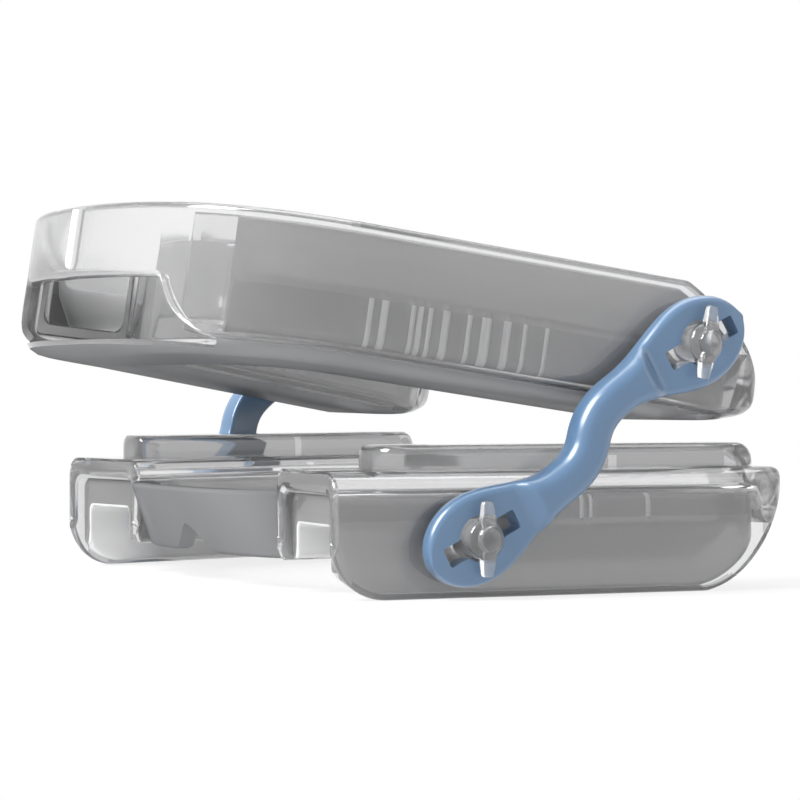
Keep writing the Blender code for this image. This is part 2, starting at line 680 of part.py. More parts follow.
def bite_pad(name, side):
    """Long block with rounded corners that follows the arm, sunk a little into the plate."""
    sunk = PLATE * 0.4
    run = Vector(LOWER_HEEL) - Vector(LOWER_SHOULDER)
    turn = -side * math.atan2(run.x, run.y)
    length = (PAD_END - PAD_START) / math.cos(turn)
    work = bmesh.new()
    bmesh.ops.create_cube(work, size=MM)
    bmesh.ops.scale(work, verts=work.verts, vec=(PAD_WIDTH, length, PAD_HEIGHT + sunk))
    upright = [e for e in work.edges if abs(e.verts[0].co.z - e.verts[1].co.z) > MM * 0.5]
    bmesh.ops.bevel(work, geom=upright, offset=PAD_CORNER * MM, segments=3, profile=0.5, affect="EDGES")
    crown = max(v.co.z for v in work.verts)
    top = [e for e in work.edges if all(v.co.z > crown - MM * 0.01 for v in e.verts)]
    bmesh.ops.bevel(work, geom=top, offset=PAD_ROUND * MM, segments=2, profile=0.5, affect="EDGES")
    middle = (PAD_START + PAD_END) / 2
    x = side * (wall_at(LOWER_SHOULDER, LOWER_HEEL, middle) - PAD_FROM_CHEEK)
    z = LOWER_CHEEK_HEIGHT + (PAD_HEIGHT - sunk) / 2
    matrix = Matrix.Translation((x * MM, middle * MM, z * MM)) @ Matrix.Rotation(turn, 4, "Z")
    bmesh.ops.transform(work, matrix=matrix, verts=work.verts)
    return cleaned(work, name)


def make_lower_liner(name, side, group, parent, material):
    """Channel for the side teeth of one half of the lower jaw."""
    rails = arm_rails(
        (LOWER_SHOULDER, LOWER_SHOULDER_TONGUE),
        (LOWER_HEEL, LOWER_HEEL_TONGUE),
        WALL + FIT,
        HEEL_WALL + FIT,
        HEEL_PLAN_RADIUS - WALL - FIT,
        lead=-LOWER_LINER_SETBACK,
    )
    limit = lower_liner_reach(rails[0][:, 1])
    cheek_top = np.minimum(LOWER_CHEEK_HEIGHT - LOWER_SKIRT_DROP, limit)
    tongue_top = np.minimum(LOWER_TONGUE_HEIGHT - LOWER_SKIRT_DROP * 0.5, limit)
    section = liner_section(cheek_top, tongue_top, LOWER_CHANNEL)
    return fitted(loft(name, lower_frame(between(rails, section), side)), group, parent, material)


def lower_liner_reach(y):
    """How far down from the plate a liner may reach at each Y inside the arm's side view."""
    radius, front = ARM_FRONT_ROUND, LOWER_SHOULDER[1]
    ahead = np.clip(front + radius - y, 0.0, radius * 0.98)
    corner_height = radius - np.sqrt(radius**2 - ahead**2)
    heel = LOWER_HEEL[1]
    slope = bezier([(heel - 8.0, 0.0), (heel - 3.0, 0.3), (heel - 0.4, 5.0), (heel, LOWER_CHEEK_HEIGHT)], 12)
    heel_height = np.interp(y, slope[:, 0], slope[:, 1])
    return LOWER_CHEEK_HEIGHT - LOWER_SKIRT_DROP - np.maximum(corner_height, heel_height)


def strap_route():
    """Middle line of a strap in its own plane, as points (along, up) from the lower button.

    It starts at the tip of the lower eyelet and ends at the tip of the upper one, and its
    second half is the first one turned about the middle.
    """
    span = strap_span()
    middle = span / 2
    reach = np.linalg.norm(span)
    leave = np.radians(LEAVE_ANGLE)
    waist = np.radians(WAIST_ANGLE)
    start = reach * LEAVE_SHARE * np.array([math.cos(leave), math.sin(leave)])
    steep = reach * WAIST_SHARE * np.array([math.cos(waist), math.sin(waist)])
    lower = bezier([(0.0, 0.0), start, middle - steep, middle], STRAP_STATIONS)
    heading = start / np.linalg.norm(start)
    past = np.sin(np.radians(TIP_ANGLE * np.array([1.0, 0.8, 0.6, 0.4, 0.2]))) * EYELET_REACH
    eyelet = -heading * past[:, None]
    half = np.vstack([eyelet, lower])
    return np.vstack([half, span - half[-2::-1]])


def strap_span():
    """Distance between the buttons, along the strap's own plane and upwards."""
    run, rise = np.array(UPPER_PLACE) - np.array(LOWER_BUTTON)
    return np.array([math.hypot(run, strap_lean()), rise])


def strap_lean():
    """How much further out the strap lies at the upper button, as the arms spread."""
    upper = wall_at(UPPER_SHOULDER, UPPER_HEEL, UPPER_BUTTON[0])
    return upper - wall_at(LOWER_SHOULDER, LOWER_HEEL, LOWER_BUTTON[0])


def strap_sizes(route):
    """Half width, thickness and edge rounding of the strap at each point of its route."""
    lower = np.linalg.norm(route, axis=1)
    upper = np.linalg.norm(route - strap_span(), axis=1)
    steps = np.linalg.norm(np.diff(route, axis=0), axis=1)
    tip = EYELET_REACH * math.sin(math.radians(TIP_ANGLE))
    travelled = np.concatenate([[0.0], np.cumsum(steps)]) - tip
    total = travelled[-1] - tip
    inside = np.minimum(travelled, total - travelled)
    half = EYELET_HALF + (SHAFT_WIDTH / 2 - EYELET_HALF) * smooth(inside / NECKING)
    past = np.clip(-inside / EYELET_REACH, 0.0, 1.0)
    half = half * np.sqrt(1.0 - past**2)
    near = np.minimum(lower, upper)
    rise = np.clip((near - STEP_START) / STEP_LENGTH, 0.0, 1.0) * (inside > 0)
    thick = EYELET_THICK + (SHAFT_THICK - EYELET_THICK) * rise
    edge = np.minimum(0.45 + 0.65 * rise, half * 0.6)
    return half, thick, edge


def strap_body(name):
    """S-shaped strap in the frame of the lower button, its flat inner face towards the trays."""
    route = strap_route()
    half, thick, edge = strap_sizes(route)
    along = np.gradient(route, axis=0)
    along /= np.linalg.norm(along, axis=1)[:, None]
    aside = np.stack([-along[:, 1], along[:, 0]], axis=1)
    inner = np.minimum(0.3, half * 0.4)
    section = (
        (-half + inner, 0.0 * half),
        (half - inner, 0.0 * half),
        (half, inner),
        (half, thick - edge),
        (half - 0.3 * edge, thick - 0.3 * edge),
        (half - edge, thick),
        (-half + edge, thick),
        (-half + 0.3 * edge, thick - 0.3 * edge),
        (-half, thick - edge),
        (-half, inner),
    )
    inner_x = wall_at(LOWER_SHOULDER, LOWER_HEEL, LOWER_BUTTON[0]) + STRAP_GAP
    splay = math.atan2(strap_lean(), UPPER_PLACE[0] - LOWER_BUTTON[0])
    rings = np.zeros((len(route), len(section), 3))
    for k, (across, depth) in enumerate(section):
        spot = route + aside * across[:, None]
        rings[:, k, 0] = inner_x + spot[:, 0] * math.sin(splay) + depth * math.cos(splay)
        rings[:, k, 1] = spot[:, 0] * math.cos(splay) - depth * math.sin(splay)
        rings[:, k, 2] = spot[:, 1]
    return loft(name, rings)


def eyelet_cutter(name, y, z):
    """Round hole with two slots through which the wings pass when the strap is fitted."""
    radius = NECK_RADIUS + HOLE_CLEARANCE
    half, corner_angle = SLOT_WIDTH / 2, math.degrees(math.asin(SLOT_WIDTH / 2 / radius))
    side = arc((0.0, 0.0), radius, corner_angle, 180.0 - corner_angle, 9)
    outline = [(SLOT_HALF, -half), (SLOT_HALF, half)] + side
    outline += [(-SLOT_HALF, half), (-SLOT_HALF, -half)] + [(-a, -b) for a, b in side]
    turn = math.radians(SLOT_TURN)
    outline = [
        (a * math.cos(turn) - b * math.sin(turn), a * math.sin(turn) + b * math.cos(turn))
        for a, b in outline
    ]
    middle = wall_at(UPPER_SHOULDER, UPPER_HEEL, UPPER_BUTTON[0])
    return outline_solid(name, outline, 4 * SHAFT_THICK, ACROSS, (middle, y, z))


def make_strap(name, side, group, cutters, parent, material):
    strap = fitted(strap_body(name), group, parent, material)
    rise = UPPER_PLACE[1] - LOWER_BUTTON[1]
    run = UPPER_PLACE[0] - LOWER_BUTTON[0]
    holes = [eyelet_cutter(f"{name}_lower_hole", 0.0, 0.0), eyelet_cutter(f"{name}_upper_hole", run, rise)]
    for piece in [strap] + holes:
        if side < 0:
            piece.data.transform(Matrix.Diagonal((-1.0, 1.0, 1.0, 1.0)))
            piece.data.flip_normals()
    for hole in holes:
        boolean(strap, hole, "DIFFERENCE", cutters)
    return strap


def middle_y():
    """Y of the middle between the foot of the midline mark, in front, and the lower heels."""
    tilt = math.radians(UPPER_TILT)
    ahead = UPPER_FRONT - MARK_PROUD - UPPER_BUTTON[0]
    below = UPPER_CHEEK_HEIGHT - RIM_RADIUS - MARK_LENGTH + MARK_WIDTH / 2 - UPPER_BUTTON[1]
    front = UPPER_PLACE[0] + ahead * math.cos(tilt) + below * math.sin(tilt)
    return (front + LOWER_HEEL[1]) / 2


def build():
    clear_scene()
    group = collection("anti_snoring_mouthpiece")
    cutters = collection("cutters")
    shell_plastic = plastic("clear_shell", (0.74, 0.76, 0.78), 0.10, 0.45)
    liner_plastic = plastic("clear_liner", (0.70, 0.71, 0.73), 0.28, 0.55)
    strap_plastic = plastic("blue_strap", (0.20, 0.36, 0.58), 0.35)

    shift = middle_y()
    lower = hinge("lower_datum", -shift, 0.0)
    straps = hinge("strap_hinge", LOWER_BUTTON[0] - shift, LOWER_BUTTON[1])
    upper = hinge("upper_hinge", UPPER_PLACE[0] - shift, UPPER_PLACE[1], UPPER_TILT)

    make_upper_shell(group, cutters, upper, shell_plastic)
    make_lower_shell(group, cutters, lower, shell_plastic)
    for side, word in ((1.0, "left"), (-1.0, "right")):
        make_upper_liner(f"upper_liner_{word}", side, group, upper, liner_plastic)
        make_lower_liner(f"lower_liner_{word}", side, group, lower, liner_plastic)
        make_strap(f"{word}_strap", side, group, cutters, straps, strap_plastic)


build()
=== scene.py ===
# %% [markdown]
# # A mouthpiece of clear plastic and two blue straps
#
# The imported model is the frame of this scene: it says where each piece is and how it
# moves. Its surfaces are coarse facets, and clear plastic shows every facet, because it
# bends the light that comes through. So each piece is drawn again here as a smooth
# surface of the same form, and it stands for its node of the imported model.

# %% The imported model
import json
import math

import bmesh
import bpy
import numpy as np
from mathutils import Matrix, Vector


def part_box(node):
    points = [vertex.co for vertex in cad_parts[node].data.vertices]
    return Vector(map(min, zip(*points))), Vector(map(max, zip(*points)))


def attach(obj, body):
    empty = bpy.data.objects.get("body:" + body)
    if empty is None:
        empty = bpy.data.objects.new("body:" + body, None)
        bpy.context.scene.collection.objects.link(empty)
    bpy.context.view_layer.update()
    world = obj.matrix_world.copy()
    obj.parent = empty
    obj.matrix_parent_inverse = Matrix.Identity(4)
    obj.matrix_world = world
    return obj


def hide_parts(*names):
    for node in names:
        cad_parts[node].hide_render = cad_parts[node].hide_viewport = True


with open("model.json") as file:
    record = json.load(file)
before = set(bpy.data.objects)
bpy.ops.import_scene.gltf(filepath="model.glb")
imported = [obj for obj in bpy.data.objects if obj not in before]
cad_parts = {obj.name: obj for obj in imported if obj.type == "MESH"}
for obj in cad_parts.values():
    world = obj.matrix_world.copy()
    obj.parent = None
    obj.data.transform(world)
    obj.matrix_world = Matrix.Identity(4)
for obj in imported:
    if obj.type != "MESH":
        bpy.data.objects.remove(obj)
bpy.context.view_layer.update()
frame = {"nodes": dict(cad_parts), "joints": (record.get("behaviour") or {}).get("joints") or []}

MM = 0.001
pivots = {joint["name"]: np.array(joint["pos_m"]) / MM for joint in frame["joints"]}
strap_pivot = pivots["left_strap_swing"]
tray_pivot = pivots["upper_tray_tilt"]
print("nodes:", sorted(frame["nodes"]))
print("straps turn about", strap_pivot, "and the upper tray about", tray_pivot, "in mm")

# %% [markdown]
# ## Sizes
#
# All sizes are in millimetres. A tray is drawn lying flat with its plate below: Y counts
# towards the throat, and heights from the plate's face. The two buttons then say where
# the flat tray goes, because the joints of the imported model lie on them.

# %% Sizes of both trays
WALL = 1.2  # side walls of both shells
PLATE = 1.5
FIT = 0.3  # gap between a liner and its shell
SKIRT = 1.2  # side walls of the liners
HEEL_WALL = 2.4
HEEL_RISE = 1.0  # length over which a trough's floor rises into the heel wall
HEEL_SHUT = 0.05  # how far the risen floor stays below the rims
HEEL_PLAN_RADIUS = 3.2
RIM_RADIUS = 0.5
TROUGH_CORNER = 0.9
LEAST = 0.02  # what stays between two surfaces that close up
CLEAR = 1.0  # how far a cutter reaches past what it cuts

UPPER_FRONT = -7.2
UPPER_FRONT_DEPTH = 9.6
FRONT_FULLNESS = (0.68, 0.65)
UPPER_SHOULDERS = ((24.2, 8.0), (12.9, 11.0))
UPPER_HEELS = ((31.3, 42.0), (20.4, 42.0))
UPPER_HEIGHTS = (11.4, 9.4)
UPPER_CHANNEL = 6.2
UPPER_SKIRT_DROP = 0.7  # liner's rim below the shell's
UPPER_EDGES = (2.6, 2.0)
FRONT_EDGE, FRONT_TROUGH_CORNER = 4.2, 2.2
FRONT_EDGE_HALF = 17.0
BELLY_DROP = 0.8
BELLY_HALF = 18.0
UPPER_BUTTON = (34.0, 6.3)
UPPER_TILT = 9.0

LOWER_SHOULDERS = ((25.0, 5.1), (13.0, 6.4))
LOWER_HEELS = ((31.45, 45.0), (20.2, 45.0))
LOWER_HEIGHTS = (10.0, 7.4)
LOWER_CHANNEL = 4.4
LOWER_SKIRT_DROP = 0.45
LOWER_EDGES = (1.6, 1.2)
LOWER_LINER_SETBACK = 0.8  # liner's front end behind the shell's
ARM_FRONT_ROUND = 4.4
LOWER_BUTTON = (16.0, 4.8)

# %% [markdown]
# ## Grids of points
#
# A surface here is a grid: rings of points, one ring for each station along the piece.
# numpy works out the whole grid at once, and one function turns any grid into a mesh.
# Corners of a section are rounded by a curve that leaves one side and joins the next.

# %% Helpers for curves, grids and meshes
LEFT_RIGHT = ((1.0, "left"), (-1.0, "right"))
SHARP_ANGLE = math.radians(35.0)


def bezier(points, count):
    """(1-t)^3 a + 3(1-t)^2 t b + 3(1-t) t^2 c + t^3 d, for t from 0 to 1."""
    t = np.linspace(0.0, 1.0, count)[:, None]
    a, b, c, d = (np.array(p, float) for p in points)
    return (1 - t) ** 3 * a + 3 * (1 - t) ** 2 * t * b + 3 * (1 - t) * t**2 * c + t**3 * d


def smooth(share):
    """3 s^2 - 2 s^3 for a share s kept between 0 and 1."""
    share = np.clip(share, 0.0, 1.0)
    return share * share * (3 - 2 * share)


def quarter_circle(gap, radius):
    """r - sqrt(r^2 - (r - gap)^2): what a rounded corner takes at a gap from its end."""
    inside = np.clip(radius - gap, 0.0, None)
    return radius - np.sqrt(np.clip(radius**2 - inside**2, 0.0, None))


def grid(*values):
    """Points from their coordinates, which are broadcast together."""
    return np.stack(np.broadcast_arrays(*values), axis=-1)


def circle(angles):
    """Points at given angles on a circle of radius 1."""
    return grid(np.cos(angles), np.sin(angles))


def unit(vectors):
    """Vectors divided by their length."""
    return vectors / np.maximum(np.linalg.norm(vectors, axis=-1, keepdims=True), 1e-9)


def left_of(line):
    """Unit vectors square to a line in a plane, on its left."""
    along = unit(np.gradient(line, axis=0))
    return grid(-along[:, 1], along[:, 0])


def travelled(line):
    """Distance along a line of points, from the first one."""
    steps = np.linalg.norm(np.diff(line, axis=0), axis=1)
    return np.concatenate([[0.0], np.cumsum(steps)])


def rounded(corners, radii, steps=6):
    """Closed polygons, one for each station, with rounded corners.

    Between p and q, which lie a radius before and after a corner c, the line is the curve
    ((1-t)^2 p + k 2 t (1-t) c + t^2 q) / ((1-t)^2 + k 2 t (1-t) + t^2), which with k the
    root of 1/2 is a circle in a square corner. A radius takes at most 0.45 of a side.
    """
    back = np.roll(corners, 1, axis=1) - corners
    ahead = np.roll(corners, -1, axis=1) - corners
    sides = np.minimum(np.linalg.norm(back, axis=2), np.linalg.norm(ahead, axis=2))
    reach = np.minimum(radii, 0.45 * sides)[..., None]
    p = (corners + unit(back) * reach)[:, :, None]
    q = (corners + unit(ahead) * reach)[:, :, None]
    t = np.linspace(0.0, 1.0, steps)[:, None]
    first, middle, last = (1 - t) ** 2, math.sqrt(2.0) * t * (1 - t), t**2
    curve = (first * p + middle * corners[:, :, None] + last * q) / (first + middle + last)
    return curve.reshape(len(corners), -1, corners.shape[2])


def cornered(corners):
    """Grid (stations, corners, values) from the values of each corner over the stations."""
    return np.stack([grid(*corner) for corner in corners], axis=1)


def shaded(mesh):
    """Smooth shading, but for edges that turn by more than SHARP_ANGLE."""
    mesh.shade_smooth()
    mesh.set_sharp_from_angle(angle=SHARP_ANGLE)
    return mesh


def skin(name, rings, cap="flat", kinds=None):
    """Closed object, in metres, over rings of points in mm (stations, ring points, 3).

    Quad (i, j) joins points j and j + 1 of ring i to the same ones of ring i + 1. A flat cap
    is one face over an end ring. A folded cap joins point k to the last but k, which closes
    a ring that runs out and back again, such as a U-shaped wall. kinds holds the number of
    the material that each quad takes.
    """
    stations, around = rings.shape[:2]
    i, j = np.meshgrid(np.arange(stations - 1), np.arange(around), indexing="ij")
    a, b = i * around + j, i * around + (j + 1) % around
    faces = np.stack([a, b, b + around, a + around], axis=-1).reshape(-1, 4).tolist()
    for first in (0, (stations - 1) * around):
        if cap == "flat":
            faces.append(list(range(first, first + around)))
        else:
            k = np.arange(around // 2 - 1)
            strip = np.stack([k, k + 1, around - 2 - k, around - 1 - k], axis=-1)
            faces += (strip + first).tolist()
    mesh = bpy.data.meshes.new(name)
    mesh.from_pydata((rings.reshape(-1, 3) * MM).tolist(), [], faces)
    if kinds is not None:
        ends = np.zeros(len(faces) - kinds.size, dtype=np.int32)
        mesh.polygons.foreach_set("material_index", np.concatenate([kinds.ravel(), ends]))
    work = bmesh.new()
    work.from_mesh(mesh)
    bmesh.ops.remove_doubles(work, verts=work.verts, dist=0.0005 * MM)
    bmesh.ops.recalc_face_normals(work, faces=work.faces)
    work.to_mesh(mesh)
    work.free()
    obj = bpy.data.objects.new(name, shaded(mesh))
    bpy.context.scene.collection.objects.link(obj)
    return obj


def carve(obj, tool, operation):
    """Join, cut or trim a piece by another at once, and remove the other."""
    step = obj.modifiers.new("carve", "BOOLEAN")
    step.operation, step.solver, step.object = operation, "MANIFOLD", tool
    graph = bpy.context.evaluated_depsgraph_get()
    mesh = bpy.data.meshes.new_from_object(obj.evaluated_get(graph))
    obj.modifiers.clear()
    obj.data = shaded(mesh)
    bpy.data.objects.remove(tool, do_unlink=True)


def choose_faces(obj, *rules):
    """Give material 1, 2 and so on to the faces whose middles (mm) and normals meet a rule."""
    faces = obj.data.polygons
    middles, normals = np.empty(len(faces) * 3), np.empty(len(faces) * 3)
    faces.foreach_get("center", middles)
    faces.foreach_get("normal", normals)
    middles, normals = middles.reshape(-1, 3) / MM, normals.reshape(-1, 3)
    kinds = np.zeros(len(faces), dtype=np.int32)
    for kind, rule in enumerate(rules, 1):
        kinds[rule(middles, normals)] = kind
    faces.foreach_set("material_index", kinds)
    print(obj.name, "has", np.bincount(kinds).tolist(), "faces of each material")


def report(obj):
    print(f"{obj.name}: {len(obj.data.vertices)} vertices, {len(obj.data.polygons)} faces")


# %% [markdown]
# ## The rails of a tray
#
# Two lines in plan carry everything: one along the cheek side and one along the tongue
# side. The front is one cubic curve from the midline to the shoulder, and an arm runs on
# straight to the heel, whose corners are rounded in plan. Stations lie closer together
# where the surface turns fast.

# %% Rails
FRONT_STATIONS = 90
ARM_STATIONS = 120
HEEL_STATIONS = 16


def narrowed(cheek, tongue, by):
    """Two rails drawn towards each other, each by the given distances."""
    across = unit(cheek - tongue) * np.broadcast_to(by, len(cheek))[:, None]
    return cheek - across, tongue + across


def arm_rails(shoulders, heels, inset=0.0, end_gap=0.0, radius=HEEL_PLAN_RADIUS, first=None):
    """Both rails of one arm: shoulder + run * share, the heel's corners quarter circles.

    first gives the distances of the stations before the heel, from the shoulder on.
    """
    cheek, tongue = (np.array(p, float) for p in shoulders)
    cheek_run, tongue_run = (np.array(p, float) - s for p, s in zip(heels, (cheek, tongue)))
    length = np.linalg.norm(cheek_run)
    straight = length - end_gap - radius
    turn = np.linspace(0.0, math.pi / 2, HEEL_STATIONS + 1)[1:]
    if first is None:
        first = np.linspace(0.0, straight, ARM_STATIONS)
    along = np.concatenate([first, straight + radius * np.sin(turn)])
    drawn_in = np.concatenate([np.zeros(len(first)), radius * (1 - np.cos(turn))])
    share = (along / length)[:, None]
    return narrowed(cheek + cheek_run * share, tongue + tongue_run * share, inset + drawn_in)


def front_rail(front, shoulder, heel):
    """Half of a tray's front, a cubic from the midline to the shoulder, along its arm there."""
    across, along = FRONT_FULLNESS
    run = unit(np.array(heel) - np.array(shoulder))
    before = np.array(shoulder) - run * (shoulder[1] - front) * along
    points = [(0.0, front), (shoulder[0] * across, front), before, shoulder]
    return bezier(points, FRONT_STATIONS)


def upper_half_rails(inset=0.0, end_gap=0.0, radius=HEEL_PLAN_RADIUS):
    """Both rails of the upper tray's left half, from the midline round to the heel."""
    cheek = front_rail(UPPER_FRONT, UPPER_SHOULDERS[0], UPPER_HEELS[0])
    tongue = front_rail(UPPER_FRONT + UPPER_FRONT_DEPTH, UPPER_SHOULDERS[1], UPPER_HEELS[1])
    cheek, tongue = narrowed(cheek, tongue, inset)
    arm = arm_rails(UPPER_SHOULDERS, UPPER_HEELS, inset, end_gap, radius)
    return np.vstack([cheek[:-1], arm[0]]), np.vstack([tongue[:-1], arm[1]])


def whole(half):
    """A line from the midline to its left end, led on from its mirror image on the right."""
    return np.vstack([half[:0:-1] * np.array([-1.0, 1.0]), half])


def middle_line(rails):
    return (rails[0] + rails[1]) / 2


def at_places(rails, distance, places):
    """Points of both rails at other distances along them."""
    return [grid(*(np.interp(places, distance, axis) for axis in rail.T)) for rail in rails]


half_length = travelled(middle_line(upper_half_rails()))[-1]
print("half of the upper tray is", round(float(half_length), 1), "mm long")

# %% [markdown]
# ## The section of a trough
#
# A section runs out along the cheek wall, round under the floor and up the tongue wall,
# then back down inside the trough and up again: with eight corners for a shell and sixteen
# for a liner. Its heights may change from station to station, which slants a heel or closes
# its trough.

# %% Trough sections


def shell_radii(cheek_edge, tongue_edge, cheek_corner=TROUGH_CORNER):
    """Radii of a shell's eight corners, in the order of trough_rings."""
    outside = [RIM_RADIUS, cheek_edge, tongue_edge, RIM_RADIUS]
    return outside + [RIM_RADIUS, TROUGH_CORNER, cheek_corner, RIM_RADIUS]


def trough_floor(y, heel, tops, bottom):
    """Height of a trough's floor: PLATE, but nearly the rims' height within the heel wall."""
    rise = smooth((y - (heel - HEEL_WALL)) / HEEL_RISE + 0.5)
    closed = np.minimum(*tops) - HEEL_SHUT
    return np.maximum(PLATE + rise * (closed - PLATE), bottom + LEAST)


def laid_out(cheek, tongue, outline, drop):
    """Points (offset from the cheek rail, height) at their places between two rails.

    A drop stretches what lies under the upper tray's rim downwards, by drop at height 0.
    """
    offset, height = outline[..., :1], outline[..., 1]
    stretch = np.clip(1 - height / UPPER_HEIGHTS[0], 0.0, 1.0)
    places = cheek + unit(tongue - cheek) * offset
    return np.dstack([places, height - np.reshape(drop, (-1, 1)) * stretch])


def trough_rings(rails, tops, bottom, floor, radii, drop=0.0):
    """Rings (stations, points, 3) of a shell's trough, lying flat between two rails."""
    cheek, tongue = rails
    width = np.linalg.norm(tongue - cheek, axis=1)
    outside = [(0.0, tops[0]), (0.0, bottom), (width, bottom), (width, tops[1])]
    inside = [(width - WALL, tops[1]), (width - WALL, floor), (WALL, floor), (WALL, tops[0])]
    outline = rounded(cornered(outside + inside), grid(*radii))
    return laid_out(cheek[:, None], tongue[:, None], outline, drop)


def soft_end(rings, radius, last=True):
    """Round off an open end: its ring moves back, and four more lead to a narrower wall.

    At an angle v a ring lies radius sin v further out, and each point has come
    radius (1 - cos v) nearer to its partner across the wall.
    """
    rings = rings if last else rings[::-1]
    end, out = rings[-1], unit(rings[-1] - rings[-2])
    out = unit(out.mean(axis=0))
    inwards = unit(end[::-1] - end)
    v = np.radians([20.0, 42.0, 66.0, 90.0])[:, None, None]
    lip = end - out * radius * (1 - np.sin(v)) + inwards * radius * (1 - np.cos(v))
    kept = rings[:-1][np.linalg.norm(rings[:-1] - end, axis=2).mean(axis=1) > radius]
    rings = np.concatenate([kept, (end - out * radius)[None], lip])
    return rings if last else rings[::-1]


lower_y = strap_pivot[1] - LOWER_BUTTON[0]  # where Y 0 of the flat lower tray lies
TILT_COS, TILT_SIN = circle(math.radians(UPPER_TILT))


def on_upper(points):
    """Flat upper tray to its place: turned about its buttons, front up, by UPPER_TILT."""
    y, z = points[..., 1] - UPPER_BUTTON[0], points[..., 2] - UPPER_BUTTON[1]
    turned = grid(points[..., 0], y * TILT_COS + z * TILT_SIN, z * TILT_COS - y * TILT_SIN)
    return turned + [0.0, *tray_pivot[1:]]


def off_upper(points):
    """The turn of on_upper taken back: Y and height on the flat tray of points (n, 3)."""
    y, z = (points - tray_pivot).T[1:]
    y, z = y * TILT_COS - z * TILT_SIN, z * TILT_COS + y * TILT_SIN
    return UPPER_BUTTON[0] + y, UPPER_BUTTON[1] + z


def on_lower(points):
    """Flat lower arm to its place: plate up, its rims on the resting plane."""
    return points * [1.0, 1.0, -1.0] + [0.0, lower_y, LOWER_HEIGHTS[0]]


# %% [markdown]
# ## Upper shell
#
# One horseshoe trough of hard clear plastic. The rims run down along the slanted heels,
# the floor of the trough rises into the heel wall, and the plate turns up at the toe of
# the heel. The plate also bulges down a little at the midline. All of it is one grid, so
# every edge is as round as a moulded one.

# %% Upper shell: its heel seen from the side
# Curves of the heel: (Y from its end, height) of their ends and of the handles between
HEEL_TIP = (-0.1, 3.4)
HEEL_SLOPE = ((-10.8, 12.4), (-6.4, 11.2), (-1.9, 7.4), HEEL_TIP)
HEEL_TOE = ((-9.4, -0.1), (-4.0, 0.5), (0.6, 0.9), HEEL_TIP)

heel_y = UPPER_HEELS[0][1]
heel_slope, heel_toe = (bezier(curve, 40) + [heel_y, 0.0] for curve in (HEEL_SLOPE, HEEL_TOE))


def upper_top(y):
    return np.interp(y, heel_slope[:, 0], heel_slope[:, 1])


def upper_bottom(y):
    forward = np.argmax(heel_toe[:, 0]) + 1
    return np.clip(np.interp(y, heel_toe[:forward, 0], heel_toe[:forward, 1]), 0.0, None)


def front_share(rails):
    """1 at the midline and 0 from FRONT_EDGE_HALF on, eased between."""
    return 1 - smooth(np.abs(rails[0][:, 0]) / FRONT_EDGE_HALF)


def belly(rails):
    """BELLY_DROP (1 - s^2), s being the distance from the midline as a share of BELLY_HALF."""
    share = middle_line(rails)[:, 0] / BELLY_HALF
    return BELLY_DROP * np.clip(1 - share**2, 0.0, 1.0)


# %% Upper shell: the horseshoe
half = upper_half_rails()
cheek, tongue = whole(half[0]), whole(half[1])
limit = upper_top(cheek[:, 1])
tops = [np.minimum(height, limit) for height in UPPER_HEIGHTS]
bottom = upper_bottom(cheek[:, 1])
floor = trough_floor(cheek[:, 1], heel_y, tops, bottom)
in_front = front_share((cheek, tongue))
edge = UPPER_EDGES[0] + (FRONT_EDGE - UPPER_EDGES[0]) * in_front
inside = TROUGH_CORNER + (FRONT_TROUGH_CORNER - TROUGH_CORNER) * in_front
radii = shell_radii(edge, UPPER_EDGES[1], inside)
drop = belly((cheek, tongue))
rings = trough_rings((cheek, tongue), tops, bottom, floor, radii, drop)
upper_shell = skin("upper_shell_clear", on_upper(rings), cap="folded")

# %% [markdown]
# The window in the front wall is cut out by a lozenge with hollow sides. The cutter
# flares upwards where it leaves the front face, so the upper edge gets the broad rounded
# lip that shines white in the photo. Above it stands the midline mark, a small rib. It is
# white in the photo, so it stays a piece of its own.

# %% Window and midline mark
WINDOW_LOW, WINDOW_HIGH = 0.35, 5.4
WINDOW_HALF_LOW, WINDOW_HALF_HIGH = 18.1, 12.9
WINDOW_CORNER, WINDOW_HOLLOW = 0.6, 0.8
WINDOW_DEPTH = 7.4  # how far it cuts behind the front face
WINDOW_LIP = 0.7  # flare along its upper edge
MARK_WIDTH, MARK_LENGTH, MARK_PROUD = 1.2, 5.0, 0.45
MARK_BELOW_RIM = 0.4
# How far each ring of the mark is drawn in, and how far it lies below the mark's top
MARK_RINGS = ((0.0, MARK_PROUD + WALL / 2), (0.0, 0.2), (0.05, 0.07), (0.2, 0.0))


def window_outline(grown):
    """Points (x, height), the left half turned over from the right. Only the top is grown."""
    low, high = WINDOW_LOW, WINDOW_HIGH + grown
    corner = np.array([WINDOW_HALF_LOW - WINDOW_CORNER, low + WINDOW_CORNER])
    turn = np.linspace(-math.pi / 2, 0.0, 9)
    foot = np.array([WINDOW_HALF_LOW, low + WINDOW_CORNER])
    head = np.array([WINDOW_HALF_HIGH + grown / 2, high - WINDOW_CORNER / 2])
    thirds = [foot + (head - foot) * share - WINDOW_HOLLOW for share in (1 / 3, 2 / 3)]
    share = np.linspace(0.0, 1.0, 50)[1:-1]
    right = np.vstack([
        grid(corner[0] * share, low),
        corner + WINDOW_CORNER * circle(turn),
        bezier([foot, *thirds, head], 24)[1:],
        grid((WINDOW_HALF_HIGH - WINDOW_CORNER / 2) * share[::-1], high),
    ])
    return np.vstack([right, right[::-1] * np.array([-1.0, 1.0])])


